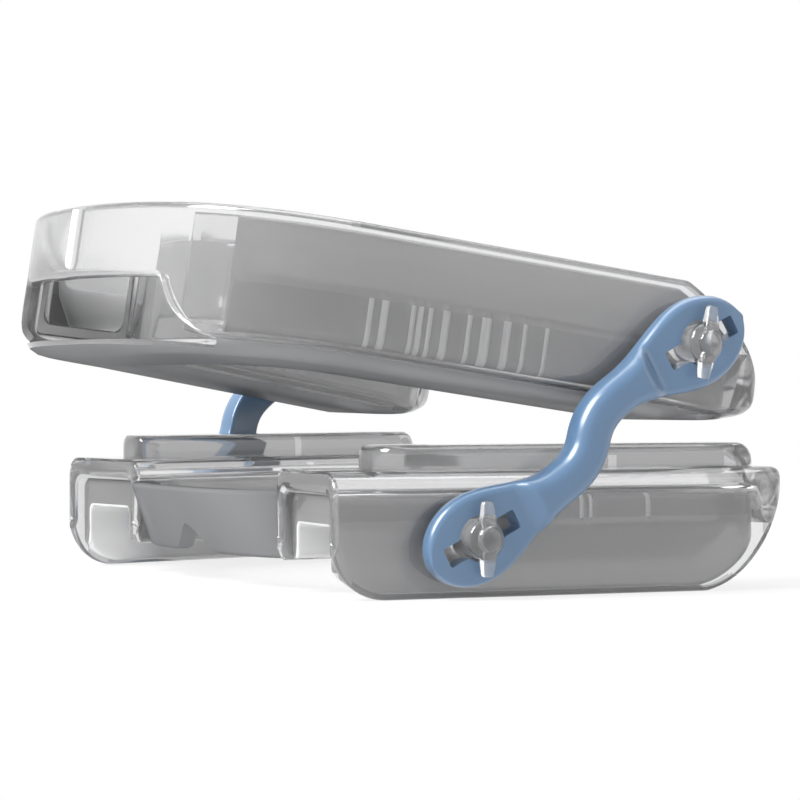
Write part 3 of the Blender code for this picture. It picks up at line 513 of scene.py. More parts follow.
def window_cutter():
    """Rings from behind the front wall to before it, with flat ends and a round flare.

    In the flare, at an angle v from the lip's start, a ring lies lip sin v further ahead
    and its top has risen by lip (1 - cos v). Each point follows the face at its X.
    """
    face = front_rail(UPPER_FRONT, UPPER_SHOULDERS[0], UPPER_HEELS[0])
    v = np.radians(np.linspace(0.0, 78.0, 9))
    ahead = np.concatenate([[0.0], WINDOW_LIP * (np.sin(v) - 1), [CLEAR, 0.0]])
    grown = np.concatenate([[0.0], WINDOW_LIP * (1 - np.cos(v)), [3 * WINDOW_LIP] * 2])
    rings = []
    for more, before in zip(grown, ahead):
        outline = window_outline(more)
        y = np.interp(np.abs(outline[:, 0]), face[:, 0], face[:, 1]) - before
        rings.append(grid(outline[:, 0], y, outline[:, 1]))
    rings[0][:, 1] = UPPER_FRONT + WINDOW_DEPTH
    rings[-1][:, 1] = UPPER_FRONT - 2 * CLEAR
    return skin("window_cutter", on_upper(np.array(rings)))


carve(upper_shell, window_cutter(), "DIFFERENCE")


def midline_mark():
    """Rings of an outline with a round foot, from inside the wall to MARK_PROUD before it."""
    half, top = MARK_WIDTH / 2, UPPER_HEIGHTS[0] - MARK_BELOW_RIM
    foot = circle(np.linspace(math.pi, 2 * math.pi, 13)) * half
    outline = np.vstack([foot + [0.0, top - MARK_LENGTH + half], [[half, top], [-half, top]]])
    middle = np.array([0.0, top - MARK_LENGTH / 2])
    rings = []
    for inset, below in MARK_RINGS:
        shrunk = outline - np.clip(outline - middle, -inset, inset)
        rings.append(np.insert(shrunk, 1, UPPER_FRONT - MARK_PROUD + below, axis=1))
    return skin("midline_mark_white", on_upper(np.array(rings)))


mark = midline_mark()
report(mark)

# %% [markdown]
# ## Buttons
#
# Each strap snaps over a button: a round neck, two tapered wings that hold the eyelet and
# a dome on top. They are moulded on the shell, so they are joined to it here as well.

# %% Buttons
NECK_RADIUS, NECK_ROOT = 1.6, 0.7  # the root reaches into the wall
NECK_MIDDLE = 0.6
NECK_END = ((0.25, 1.52), (0.42, 1.36), (0.48, 1.2))  # (distance past the foot, radius)
WING_HALF, WING_WIDTH, WING_THICK = 2.95, 1.35, 0.8
WING_EVEN, WING_TAPER = 0.4, 0.3
WING_EDGES = (0.1, 0.1, 0.25, 0.25)
WING_ROUND, WING_TIP = 0.18, 0.06  # rounding of the ends, and its length as a share
DOME_RADIUS, DOME_RISE, DOME_SUNK = 1.1, 0.45, 0.25
STRAP_GAP, EYELET_THICK, WING_GAP = 0.8, 1.5, 0.5
BUTTON_FOOT = STRAP_GAP + EYELET_THICK + WING_GAP


def wall_at(shoulders, heels, y):
    """X of an arm's cheek-side face at a given Y."""
    shoulder, heel = shoulders[0], heels[0]
    return shoulder[0] + (heel[0] - shoulder[0]) * (y - shoulder[1]) / (heel[1] - shoulder[1])


def stem_rings(wall):
    """Turned profile (distance from the wall, radius): neck, soft shoulder and dome."""
    v = np.radians(np.linspace(0.0, 85.0, 9))
    dome_foot = BUTTON_FOOT + WING_THICK - DOME_SUNK
    neck = [(out, NECK_RADIUS) for out in (-NECK_ROOT, NECK_MIDDLE, BUTTON_FOOT)]
    neck += [(BUTTON_FOOT + out, radius) for out, radius in NECK_END]
    dome = grid((DOME_RISE + DOME_SUNK) * np.sin(v), DOME_RADIUS * np.cos(v))
    profile = np.vstack([neck, dome + [dome_foot, 0.0]])
    around = np.linspace(0.0, 2 * math.pi, 40, endpoint=False)
    out, radius = profile[:, :1], profile[:, 1:]
    return grid(wall + out, radius * np.cos(around), radius * np.sin(around))


def wing_rings(wall):
    """Bar along Z whose width and thickness taper past WING_EVEN of it, its ends rounded."""
    v = np.radians([90.0, 60.0, 30.0])
    tips, drawn_in = 1 - WING_TIP * (1 - np.sin(v)), WING_ROUND * (1 - np.cos(v))
    along = np.concatenate([-tips, np.linspace(-0.9, 0.9, 25), tips[::-1]])
    pull = np.concatenate([drawn_in, np.zeros(25), drawn_in[::-1]])
    taper = np.clip((np.abs(along) - WING_EVEN) / (1 - WING_EVEN), 0.0, 1.0)
    half = WING_WIDTH / 2 * (1 - WING_TAPER * taper) - pull
    top = wall + BUTTON_FOOT + WING_THICK * (1 - WING_TAPER * taper) - pull
    foot = wall + BUTTON_FOOT + pull
    corners = cornered([(foot, -half), (foot, half), (top, half), (top, -half)])
    outline = rounded(corners, WING_EDGES, 5)
    return grid(outline[..., 0], outline[..., 1], along[:, None] * WING_HALF)


def add_buttons(shell, shoulders, heels, y, height, place):
    """Both buttons of a tray, joined to its shell where the flat tray's (y, height) says."""
    wall = wall_at(shoulders, heels, y)
    for side, word in LEFT_RIGHT:
        for rings, part in ((stem_rings(wall), "stem"), (wing_rings(wall), "wings")):
            placed = place((rings + np.array([0.0, y, height])) * np.array([side, 1.0, 1.0]))
            carve(shell, skin(f"{part}_{word}", placed), "UNION")
    report(shell)


add_buttons(upper_shell, UPPER_SHOULDERS, UPPER_HEELS, *UPPER_BUTTON, on_upper)

# %% [markdown]
# ## Liners
#
# A liner is softer plastic that takes the print of the teeth. It fills the trough up to
# its edge, and small upright ribs on its outside key it to the shell. The bright streaks
# behind the wall are partly these ribs and partly painted light: the ribs' crests are
# painted pale as painted highlight, beside a lower wall painted darker as painted shade,
# and the tooth channel is painted pale as well. A rib is a swelling of the wall that comes
# and goes along the stations, below the floor of the tooth channel.

# %% Liner sections
RIB_HEIGHT = 0.24
RIB_WIDTH = 0.17
RIB_SHIFTS = ((0.45, 2.4), (0.3, 5.1))  # share of the pitch, and angle from rib to rib
UPPER_RIBS, LOWER_RIBS = (8.3, 23.5, 1.0), (24.0, 34.0, 2.4)  # first and last Y, pitch
LEDGE_RISE, LEDGE_DROP = 0.2, 0.5  # where ribs end over and under the channel's floor
LEDGE_BELOW_RIM = (0.3, 0.6)  # the same two, at least, below the rim
# Radii of a wall's corners from its rim down, outside and inside
LINER_OUT_RADII, LINER_IN_RADII = [0.4, 0.3, 0.3, TROUGH_CORNER], [0.4, 0.2, 0.2, 1.0]
LINER_INSETS = (WALL + FIT, HEEL_WALL + FIT, HEEL_PLAN_RADIUS - WALL - FIT)
CHEEK_FACE, RIB_CORNER = 4, 12  # numbers of a ring's points


def ribs(y, first, last, pitch):
    """Sum of exp(-((y - p) / RIB_WIDTH)^2) over uneven ribs at p, kept up to 1."""
    k = np.arange(int((last - first) / pitch))
    shift = sum(share * np.sin(angle * k) for share, angle in RIB_SHIFTS)
    places = first + pitch * (k + shift)
    bumps = np.exp(-(((y[:, None] - places) / RIB_WIDTH) ** 2)).sum(axis=1)
    return np.clip(bumps, 0.0, 1.0)


def liner_rings(rails, distance, tops, channel, skirt, swell, drop=0.0, under=None):
    """Rings of a liner: outside with its ribs, inside the tooth channel.

    under(distance, height) tells how much further along the rails an inside point lies.
    """
    cheek, tongue = rails
    width = np.linalg.norm(tongue - cheek, axis=1)

    def wall(edge, swollen, inner_edge, top):
        """Corners down the outside of a wall, and down its inside."""
        ledge = np.minimum(channel + LEDGE_RISE, top - LEDGE_BELOW_RIM[0])
        foot = np.minimum(channel - LEDGE_DROP, top - LEDGE_BELOW_RIM[1])
        outside = [(edge, top), (edge, ledge), (swollen, foot), (swollen, PLATE + FIT)]
        shares = (1.0, 2 / 3, 1 / 3, 0.0)
        return outside, [(inner_edge, top * s + channel * (1 - s)) for s in shares]

    cheek_out, cheek_in = wall(0.0, -swell, skirt, tops[0])
    tongue_out, tongue_in = wall(width, width + swell, width - skirt, tops[1])
    corners = cornered(cheek_out + tongue_out[::-1] + tongue_in + cheek_in[::-1])
    radii = LINER_OUT_RADII + LINER_OUT_RADII[::-1] + LINER_IN_RADII + LINER_IN_RADII[::-1]
    outline = rounded(corners, radii, 5)
    height = outline[..., 1]
    place = np.repeat(distance[:, None], height.shape[1], axis=1)
    if under:
        inner = np.arange(height.shape[1]) >= height.shape[1] // 2
        place = place + under(distance[:, None], height) * inner
    return laid_out(*at_places(rails, distance, place), outline, drop)


def liner_kinds(rings):
    """Number of each face's material: 1, pale as painted light, in the tooth channel, 2, darker
    as painted shade, on the wall beside its floor, and 1 again, a painted highlight, on the
    ribs there, where the wall stands out by a third of RIB_HEIGHT."""
    stations, around = rings.shape[:2]
    kinds = np.zeros((stations - 1, around), dtype=np.int32)
    # painted light: the tooth channel is pale
    kinds[:, around // 2 :] = 1
    lower_wall = slice(RIB_CORNER, RIB_CORNER + 6)
    # painted shade: the wall beside the channel's floor is darker
    kinds[:, lower_wall] = 2
    across = unit(rings[:, around // 2, :2] - rings[:, 0, :2])
    out = -((rings[:, RIB_CORNER, :2] - rings[:, CHEEK_FACE, :2]) * across).sum(axis=1)
    # painted highlight: the rib crests are pale
    kinds[(out[:-1] + out[1:]) / 2 > RIB_HEIGHT / 3, lower_wall] = 1
    return kinds


def resampled(rails, spacing, start=0.0, more=()):
    """Both rails from a start on, at even distances along their middle line and some more."""
    distance = travelled(middle_line(rails))
    count = int((distance[-1] - start) / spacing) + 1
    even = np.unique(np.concatenate([np.linspace(0.0, distance[-1] - start, count), more]))
    return at_places(rails, distance, even + start), even


# %% Upper liners
LINER_SPACING = 0.2  # between stations
UPPER_LINER_START = 14.3  # X of the front end, cheek side
LINER_LEAD, LINER_LEAD_SHARE = 3.3, 0.4  # length of the flap, and its walls as a share
LINER_TOE_THICK = 1.0
LINER_STEP = 0.25  # length over which the flap grows to the full section
LINER_NOSE, LINER_NOSE_TOP = 3.4, 7.4  # undercut of the full section, and where it starts
LINER_NOSE_FADE = 2.0
FLAP = 3  # number of its material
LINER_END_ROUND, FLAP_END_ROUND = 0.25, 0.2


def nose(distance, height):
    """LINER_NOSE times an ease from 0 at LINER_NOSE_TOP to 1 at the flap's floor.

    It grows along the flap and dies away within LINER_NOSE_FADE behind the nose.
    """
    flap_floor = PLATE + FIT + LINER_TOE_THICK
    depth = smooth((LINER_NOSE_TOP - height) / (LINER_NOSE_TOP - flap_floor))
    grows = np.clip(distance / LINER_LEAD, 0.0, 1.0)
    fades = np.clip(1 - (distance - LINER_LEAD) / LINER_NOSE_FADE, 0.0, 1.0)
    return LINER_NOSE * depth * grows * fades


rails = upper_half_rails(*LINER_INSETS)
front = slice(FRONT_STATIONS - 1)
distance = travelled(middle_line(rails))
start = float(np.interp(UPPER_LINER_START, rails[0][front, 0], distance[front]))
step_places = LINER_LEAD + LINER_STEP * np.linspace(0.0, 1.0, 12)
rails, distance = resampled(rails, LINER_SPACING, start, step_places)
grown = smooth((distance - LINER_LEAD) / LINER_STEP)
toe = PLATE + FIT + LINER_TOE_THICK
channel = toe + (UPPER_CHANNEL - toe) * grown
skirt = SKIRT * (LINER_LEAD_SHARE + (1 - LINER_LEAD_SHARE) * grown)
limit = upper_top(rails[0][:, 1]) - UPPER_SKIRT_DROP
tops = [np.minimum(height - UPPER_SKIRT_DROP, limit) for height in UPPER_HEIGHTS]
swell = RIB_HEIGHT * ribs(rails[0][:, 1], *UPPER_RIBS)
rings = liner_rings(rails, distance, tops, channel, skirt, swell, belly(rails), nose)
rings = soft_end(soft_end(rings, LINER_END_ROUND), FLAP_END_ROUND, last=False)
kinds = liner_kinds(rings)
kinds[: int((distance < LINER_LEAD).sum()) + 3] = FLAP  # its soft end has 3 rings more


def both_sides(name, rings, place, kinds):
    """The left piece from its rings and the right one from their mirror image."""
    return {
        word: skin(f"{name}_{word}_clear", place(rings * [side, 1.0, 1.0]), "folded", kinds=kinds)
        for side, word in LEFT_RIGHT
    }


upper_liners = both_sides("upper_liner", rings, on_upper, kinds)
report(upper_liners["left"])

# %% [markdown]
# ## Lower shell
#
# Two side troughs, plate up, open in front. Their lower front corners are quarter
# circles, so the stations come close together there. A leaning ramp behind the front teeth
# joins them, and a long bite pad stands on each.

# %% Lower shell: one arm
LOWER_HEEL_CURVE = ((-9.0, -0.15), (-3.8, 0.3), (-2.5, 4.6), (0.0, 9.0))
LOWER_HEEL_EDGE = ((-1.0, 0.0), (-0.25, 0.2), (0.0, 0.8))  # rounding along the plate
SHELL_END_ROUND = 0.5

lower_heel = LOWER_HEELS[0][1]
heel_curve = bezier(LOWER_HEEL_CURVE, 40) + [lower_heel, 0.0]


def lower_reach(y, extra=0.0):
    """Height that the side view leaves at each Y: that of the cheek side, less the corner's
    circle in front or the heel's curve behind."""
    front = quarter_circle(y - LOWER_SHOULDERS[0][1], ARM_FRONT_ROUND)
    behind = np.clip(np.interp(y, heel_curve[:, 0], heel_curve[:, 1]), 0.0, None)
    return LOWER_HEIGHTS[0] - extra - np.maximum(front, behind)


v = np.linspace(0.0, math.pi / 2, 14)
length = math.dist(LOWER_SHOULDERS[0], LOWER_HEELS[0])
even = np.linspace(ARM_FRONT_ROUND, length - HEEL_PLAN_RADIUS, 90)
first = np.concatenate([ARM_FRONT_ROUND * (1 - np.cos(v)), even[1:]])
rails = arm_rails(LOWER_SHOULDERS, LOWER_HEELS, first=first)
y = rails[0][:, 1]
limit = lower_reach(y)
tops = [np.minimum(height, limit) for height in LOWER_HEIGHTS]
bottom = np.interp(y - lower_heel, *zip(*LOWER_HEEL_EDGE))
floor = trough_floor(y, lower_heel, tops, bottom)
rings = trough_rings(rails, tops, bottom, floor, shell_radii(*LOWER_EDGES))
rings = soft_end(rings, SHELL_END_ROUND, last=False)
lower_shell = skin("lower_shell_clear", on_lower(rings), cap="folded")
right_arm = skin("lower_right_arm", on_lower(rings * [-1.0, 1.0, 1.0]), cap="folded")
carve(lower_shell, right_arm, "UNION")

# %% Lower shell: the ramp
RAMP_TOP, RAMP_BOTTOM = 8.2, 2.6
RAMP_LIP, RAMP_LEAN = 3.0, 3.0  # Y of its lip, and how much further back its foot lies
RAMP_WALL, RAMP_THIN = 1.5, 0.55  # thickness, and the share of it that its ends have
RAMP_LIP_HALF, RAMP_CORNER, RAMP_END = 9.0, (14.2, 4.0), (15.3, 13.0)
RAMP_EDGES = (0.35, 0.35, 0.5, 0.5)
FRENUM_HEIGHT, FRENUM_HALF = 2.4, 4.6


def ramp():
    """Wall between a lip and a foot line, which lies RAMP_LEAN sqrt(share) further back."""
    count = 50
    lip = bezier([(0.0, RAMP_LIP), (RAMP_LIP_HALF, RAMP_LIP), RAMP_CORNER, RAMP_END], count)
    share = np.linspace(1.0, 0.0, count) ** 0.5
    foot = lip + np.array([0.0, RAMP_LEAN]) * share[:, None]
    lip, foot = whole(lip), whole(foot)
    share = np.concatenate([share[:0:-1], share])
    behind = left_of(lip) * RAMP_WALL * (RAMP_THIN + (1 - RAMP_THIN) * share)[:, None]
    bottom = [np.insert(edge, 2, RAMP_BOTTOM, axis=1) for edge in (foot, foot + behind)]
    top = [np.insert(edge, 2, RAMP_TOP, axis=1) for edge in (lip + behind, lip)]
    return rounded(np.stack(bottom + top, axis=1), RAMP_EDGES) + [0.0, lower_y, 0.0]


def frenum_notch():
    """Arch (1 - |a|^1.5)^2 high at a share a of its half width, carried along Y."""
    across = np.linspace(-1.0, 1.0, 61)
    height = RAMP_BOTTOM + FRENUM_HEIGHT * (1 - np.abs(across) ** 1.5) ** 2
    x = np.concatenate([across, [1.0, -1.0]]) * FRENUM_HALF
    z = np.concatenate([height, [RAMP_BOTTOM - CLEAR] * 2])
    reach = np.array([-RAMP_LEAN, 3 * RAMP_LEAN])[:, None] + RAMP_LIP + lower_y
    return skin("frenum_notch", grid(x, reach, z))


ramp_solid = skin("ramp", ramp())
carve(ramp_solid, frenum_notch(), "DIFFERENCE")
carve(lower_shell, ramp_solid, "UNION")

# %% Lower shell: bite pads
PAD_HEIGHT, PAD_WIDTH, PAD_FROM_CHEEK = 2.0, 5.6, 3.9
PAD_START, PAD_END = 9.8, 42.6
PAD_CORNER, PAD_EDGES = 2.0, (0.01, 0.01, 0.9, 0.9)
PAD_FRONT_ROUND, PAD_REAR_ROUND = 0.6, 1.9
PAD_ROOT = 0.4  # how far it reaches into the plate, as a share


def bite_pad(side):
    """Block along an arm: its width is drawn in by a quarter circle at both ends, and its
    top comes down at the front by a small one and at the rear by one nearly as high."""
    v = np.linspace(0.0, math.pi / 2, 12)
    ends = PAD_CORNER * (1 - np.cos(v))
    between = np.linspace(PAD_START + PAD_CORNER, PAD_END - PAD_CORNER, 40)[1:-1]
    y = np.concatenate([PAD_START + ends, between, PAD_END - ends[::-1]])
    front, rear = y - PAD_START, PAD_END - y
    half = PAD_WIDTH / 2 - quarter_circle(np.minimum(front, rear), PAD_CORNER)
    down = quarter_circle(front, PAD_FRONT_ROUND), quarter_circle(rear, PAD_REAR_ROUND)
    top = LOWER_HEIGHTS[0] + PAD_HEIGHT - np.maximum(*down)
    middle = wall_at(LOWER_SHOULDERS, LOWER_HEELS, y) - PAD_FROM_CHEEK
    foot = LOWER_HEIGHTS[0] - PLATE * PAD_ROOT
    left, right = middle - half, middle + half
    corners = cornered([(left, y, foot), (right, y, foot), (right, y, top), (left, y, top)])
    return (rounded(corners, PAD_EDGES, 8) + [0.0, lower_y, 0.0]) * [side, 1.0, 1.0]


for side, word in LEFT_RIGHT:
    carve(lower_shell, skin(f"bite_pad_{word}", bite_pad(side)), "UNION")
button_height = LOWER_HEIGHTS[0] - LOWER_BUTTON[1]
add_buttons(lower_shell, LOWER_SHOULDERS, LOWER_HEELS, LOWER_BUTTON[0], button_height, on_lower)

# %% Lower liners
first = np.linspace(LOWER_LINER_SETBACK, length - sum(LINER_INSETS[1:]), 60)
rails = arm_rails(LOWER_SHOULDERS, LOWER_HEELS, *LINER_INSETS, first)
rails, distance = resampled(rails, LINER_SPACING)
limit = lower_reach(rails[0][:, 1], LOWER_SKIRT_DROP)
drops = (LOWER_SKIRT_DROP, LOWER_SKIRT_DROP / 2)
tops = [np.minimum(height - below, limit) for height, below in zip(LOWER_HEIGHTS, drops)]
swell = RIB_HEIGHT * ribs(rails[0][:, 1], *LOWER_RIBS)
rings = liner_rings(rails, distance, tops, LOWER_CHANNEL, SKIRT, swell)
rings = soft_end(soft_end(rings, LINER_END_ROUND), LINER_END_ROUND, last=False)
lower_liners = both_sides("lower_liner", rings, on_lower, liner_kinds(rings))
report(lower_liners["left"])

# %% [markdown]
# ## Straps
#
# An S-shaped bar with an eyelet at either end. Its middle line is two cubic curves, the
# second one the first turned about the middle. The section goes from a flat eyelet over a
# sloped step to a shaft that is nearly half round, and each eyelet has a hole with two
# slots through which the wings pass.

# %% Straps
STRAP_REACH = 4.5  # from a pivot to the strap's tip
EYELET_HALF = 3.55
SHAFT_THICK, SHAFT_WIDTH = 2.6, 3.2
NECKING = 8.0  # length over which an eyelet narrows to the shaft
STEP_START, STEP_LENGTH = 4.4, 1.4
BACK_EDGE, EYELET_EDGE, SHAFT_EDGE = 0.3, 0.7, 1.3  # radii along the section's corners
TIP_SHARE = 0.02  # half width left at the very tip
LEAVE_ANGLE, LEAVE_SHARE = 30.0, 0.31  # of the handle at a pivot
WAIST_ANGLE, WAIST_SHARE = 78.0, 0.13  # of the handle at the middle
SLOT_HALF, SLOT_WIDTH, SLOT_TURN = 3.3, 1.6, 28.0
SLOT_CORNER, HOLE_CLEARANCE = 0.18, 0.25

upper_wall = wall_at(UPPER_SHOULDERS, UPPER_HEELS, UPPER_BUTTON[0])
lower_wall = wall_at(LOWER_SHOULDERS, LOWER_HEELS, LOWER_BUTTON[0])
run = tray_pivot - strap_pivot
lean = upper_wall - lower_wall
span = np.array([math.hypot(run[1], lean), run[2]])
print("a strap is", round(float(np.linalg.norm(span)), 1), "mm between its buttons")


def strap_route():
    """Points (along, up) from the tip of the lower eyelet to the tip of the upper one."""
    reach = np.linalg.norm(span)
    start = reach * LEAVE_SHARE * circle(math.radians(LEAVE_ANGLE))
    steep = reach * WAIST_SHARE * circle(math.radians(WAIST_ANGLE))
    lower = bezier([(0.0, 0.0), start, span / 2 - steep, span / 2], 60)
    past = np.sin(np.radians(np.linspace(89.0, 4.0, 24))) * STRAP_REACH
    half = np.vstack([-unit(start) * past[:, None], lower])
    return np.vstack([half, span - half[-2::-1]])


def strap_rings():
    """Rings of four rounded corners across the route, flat side towards the trays."""
    route = strap_route()
    near = np.minimum(np.linalg.norm(route, axis=1), np.linalg.norm(route - span, axis=1))
    steps = travelled(route)
    inside = np.minimum(steps, steps[-1] - steps) - STRAP_REACH
    half = EYELET_HALF + (SHAFT_WIDTH / 2 - EYELET_HALF) * smooth(inside / NECKING)
    past = np.clip(-inside / STRAP_REACH, 0.0, 1.0)
    half = half * np.sqrt(np.clip(1 - past**2, TIP_SHARE**2, None))
    rise = smooth((near - STEP_START) / STEP_LENGTH) * (inside > 0)
    thick = EYELET_THICK + (SHAFT_THICK - EYELET_THICK) * rise
    edge = EYELET_EDGE + (SHAFT_EDGE - EYELET_EDGE) * rise
    corners = cornered([(-half, 0.0), (half, 0.0), (half, thick), (-half, thick)])
    outline = rounded(corners, grid(BACK_EDGE, BACK_EDGE, edge, edge), 9)
    spot = route[:, None] + left_of(route)[:, None] * outline[..., :1]
    depth = outline[..., 1]
    splay = math.atan2(lean, run[1])
    x = lower_wall + STRAP_GAP + spot[..., 0] * math.sin(splay) + depth * math.cos(splay)
    y = strap_pivot[1] + spot[..., 0] * math.cos(splay) - depth * math.sin(splay)
    return grid(x, y, strap_pivot[2] + spot[..., 1])


def eyelet_cutter(y, z):
    """Round hole with two slots, carried along X through the eyelet."""
    radius, half = NECK_RADIUS + HOLE_CLEARANCE, SLOT_WIDTH / 2
    corner = math.asin(half / radius)
    upper = radius * circle(np.linspace(corner, math.pi - corner, 17))
    end = np.array([[SLOT_HALF, -half], [SLOT_HALF, half]])
    outline = np.vstack([end, upper, -end, -upper])
    corners = rounded(outline[None], SLOT_CORNER, 3)[0]
    cos, sin = circle(math.radians(SLOT_TURN))
    along, up = (corners @ np.array([[cos, sin], [-sin, cos]])).T
    reach = np.array([lower_wall - 3 * CLEAR, upper_wall + 9 * CLEAR])[:, None]
    return grid(reach, y + along, z + up)


straps = {}
for side, word in LEFT_RIGHT:
    flip = np.array([side, 1.0, 1.0])
    strap = skin(f"{word}_strap_blue", strap_rings() * flip)
    for pivot in (strap_pivot, tray_pivot):
        carve(strap, skin("eyelet_hole", eyelet_cutter(*pivot[1:]) * flip), "DIFFERENCE")
    straps[word] = strap
    report(strap)

# %% [markdown]
# ## Materials
#
# One small class writes shader maths as Python: it wraps a socket, and an expression on
# it adds the Math nodes. The clear plastics let light through and tint it grey, each by
# its place, and some of these tints are painted light and shade. A tray's underside and
# ramp are painted greyer and duller than its walls, and its heels, bite pads and rim strips
# a darker grey: painted shade. A liner's ribs and channel are painted milky as painted
# light, beside its lower wall, which is painted darker as painted shade. The blue of the
# straps is an opaque satin plastic.

# %% Shader expressions


class Shade:
    """A socket in a node tree. Arithmetic on it adds Math nodes; node() adds any other.

    An input is named, or numbered as _0, _1 and so on.
    """

    def __init__(self, tree, socket=None):
        self.tree, self.socket = tree, socket

    def node(self, kind, settings=None, **inputs):
        made = self.tree.nodes.new(kind)
        for name, value in (settings or {}).items():
            setattr(made, name, value)
        for name, value in inputs.items():
            socket = made.inputs[int(name[1:]) if name[1:].isdigit() else name]
            if isinstance(value, Shade):
                self.tree.links.new(value.socket, socket)
            else:
                socket.default_value = value
        return made

    def out(self, made, name=0):
        return Shade(self.tree, made.outputs[name])

    def maths(self, operation, first, second):
        return self.out(self.node("ShaderNodeMath", {"operation": operation}, _0=first, _1=second))

    def __add__(self, other):
        return self.maths("ADD", self, other)

    def __mul__(self, other):
        return self.maths("MULTIPLY", self, other)

    def __radd__(self, other):
        return self.maths("ADD", other, self)

    def __rmul__(self, other):
        return self.maths("MULTIPLY", other, self)


def principled(name, sockets):
    """New material and its shader, with the plain values of its sockets set."""
    material = bpy.data.materials.new(name)
    material.use_nodes = True
    shader = material.node_tree.nodes["Principled BSDF"]
    for socket, value in sockets.items():
        shader.inputs[socket].default_value = value
    return material, shader, Shade(material.node_tree)


def flow_marks(shade, scale, detail):
    """Noise on Object coordinates, for the flow of the moulded plastic."""
    place = shade.out(shade.node("ShaderNodeTexCoord"), "Object")
    noise = shade.node("ShaderNodeTexNoise", Vector=place, Scale=scale, Detail=detail)
    return shade.out(noise, "Fac")


def tinted(shader, shade, share, first, second):
    """Lead the Base Color from a first colour to a second one by a share."""
    tint = shade.node("ShaderNodeMix", {"data_type": "RGBA"}, Factor=share)
    tint.inputs[6].default_value = (*first, 1.0)
    tint.inputs[7].default_value = (*second, 1.0)
    shade.tree.links.new(tint.outputs[2], shader.inputs["Base Color"])


def roughened(shader, shade, rough):
    shade.tree.links.new(rough.socket, shader.inputs["Roughness"])


def bumpy(shader, shade, height, strength, depth):
    """Bump of the skin, its depth in mm."""
    bump = shade.node("ShaderNodeBump", Strength=strength, Distance=depth * MM, Height=height)
    shade.tree.links.new(bump.outputs["Normal"], shader.inputs["Normal"])


def clear_plastic(name, face, rim, roughness, transmission, coat, waves, ior=1.47):
    """Clear plastic with a polished skin, darker where it is seen at a flat angle.

    Light that meets a wall at a flat angle runs a long way through it, so the colour goes
    from face to rim by the cube of Layer Weight's Facing. waves holds the scale of the
    skin's waves and their depth in mm.
    """
    sockets = {
        "Transmission Weight": transmission,
        "IOR": ior,
        "Roughness": roughness,
        "Coat Weight": coat,
        "Coat Roughness": 0.04,
    }
    material, shader, shade = principled(name, sockets)
    scale, depth = waves
    bumpy(shader, shade, flow_marks(shade, scale, 1.0), 1.0, depth)
    flat = shade.out(shade.node("ShaderNodeLayerWeight", Blend=0.5), "Facing")
    cloud = flow_marks(shade, scale * 0.6, 2.0)
    tinted(shader, shade, flat * flat * flat * (0.9 + 0.2 * cloud), face, rim)
    roughened(shader, shade, roughness + 0.05 * cloud)
    return material


def white_plastic():
    """White of the raised mark, with a faint grey line of flow through it."""
    material, shader, shade = principled("mark_white", {"Roughness": 0.35})
    tinted(shader, shade, flow_marks(shade, 900.0, 2.0), (0.93, 0.93, 0.93), (0.84, 0.84, 0.85))
    return material


def blue_plastic():
    """Satin blue: faint mottling, and a fine bump that softens the highlights."""
    sockets = {"Coat Weight": 1.0, "Coat Roughness": 0.2}
    material, shader, shade = principled("blue_strap", sockets)
    cloud = flow_marks(shade, 180.0, 3.0)
    tinted(shader, shade, cloud, (0.082, 0.165, 0.292), (0.098, 0.190, 0.320))
    roughened(shader, shade, 0.30 + 0.08 * cloud)
    bumpy(shader, shade, flow_marks(shade, 2500.0, 2.0), 0.25, 0.02)
    return material


# Face and rim colours, roughness, transmission, coat, waves and, if not 1.47, the IOR
SHELL_WAVES, LINER_WAVES, FLAP_WAVES = (160.0, 0.03), (220.0, 0.05), (220.0, 0.01)
CLEAR_LOOKS = {
    "clear_shell": ((0.84, 0.84, 0.845), (0.03, 0.033, 0.036), 0.04, 0.93, 0.6, SHELL_WAVES),
    "shell_painted_shade_grey": ((0.31, 0.31, 0.315), (0.08, 0.085, 0.09), 0.4, 0.30, 0.0, SHELL_WAVES, 1.08),
    # Painted shade: the grey, dull plastic of a tray's underside, front edge and ramp
    "shell_painted_shade_deep": ((0.42, 0.42, 0.425), (0.04, 0.043, 0.046), 0.06, 0.85, 0.6, SHELL_WAVES),
    # Painted shade: the darker tint of the heels, bite pads and rim strips
    "clear_liner": ((0.40, 0.398, 0.395), (0.10, 0.10, 0.11), 0.16, 0.60, 0.5, LINER_WAVES),
    # Painted light: the milky channel of a liner, and a painted highlight on its rib crests
    "liner_painted_light": ((0.95, 0.95, 0.95), (0.60, 0.60, 0.62), 0.20, 0.30, 0.5, LINER_WAVES),
    # Painted shade: the darker lower wall of a liner, beside its ribs
    "liner_painted_shade": ((0.22, 0.22, 0.223), (0.08, 0.08, 0.09), 0.16, 0.50, 0.5, LINER_WAVES),
    "flap_liner": ((0.82, 0.82, 0.82), (0.60, 0.60, 0.61), 0.05, 0.96, 0.0, FLAP_WAVES, 1.08),
}
clear = [clear_plastic(name, *look) for name, look in CLEAR_LOOKS.items()]
shell_plastics, liner_plastics = clear[:3], clear[3:]

# %% [markdown]
# ## Riding and standing in
#
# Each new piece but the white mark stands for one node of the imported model, and each rides
# on a body. No node is left showing, so all eight surfaces are the smooth ones.

# %% Riding
ARM_START = 6.0  # Y behind which the upper tray is an arm
FACE_HEIGHT = 0.9  # what belongs to the plate's face lies below it on the flat tray
FACING_DOWN = -0.6  # Z of the normals there, at most
PAD_FOOT = 0.3  # a pad starts this far over the lower plate
# The strip along the lower rims is painted darker: painted shade
LOWER_STRIP = 1.4  # height of the darker strip along the lower rims
RAMP_GAP = 0.1  # between the ramp's faces and the arms' tongue sides


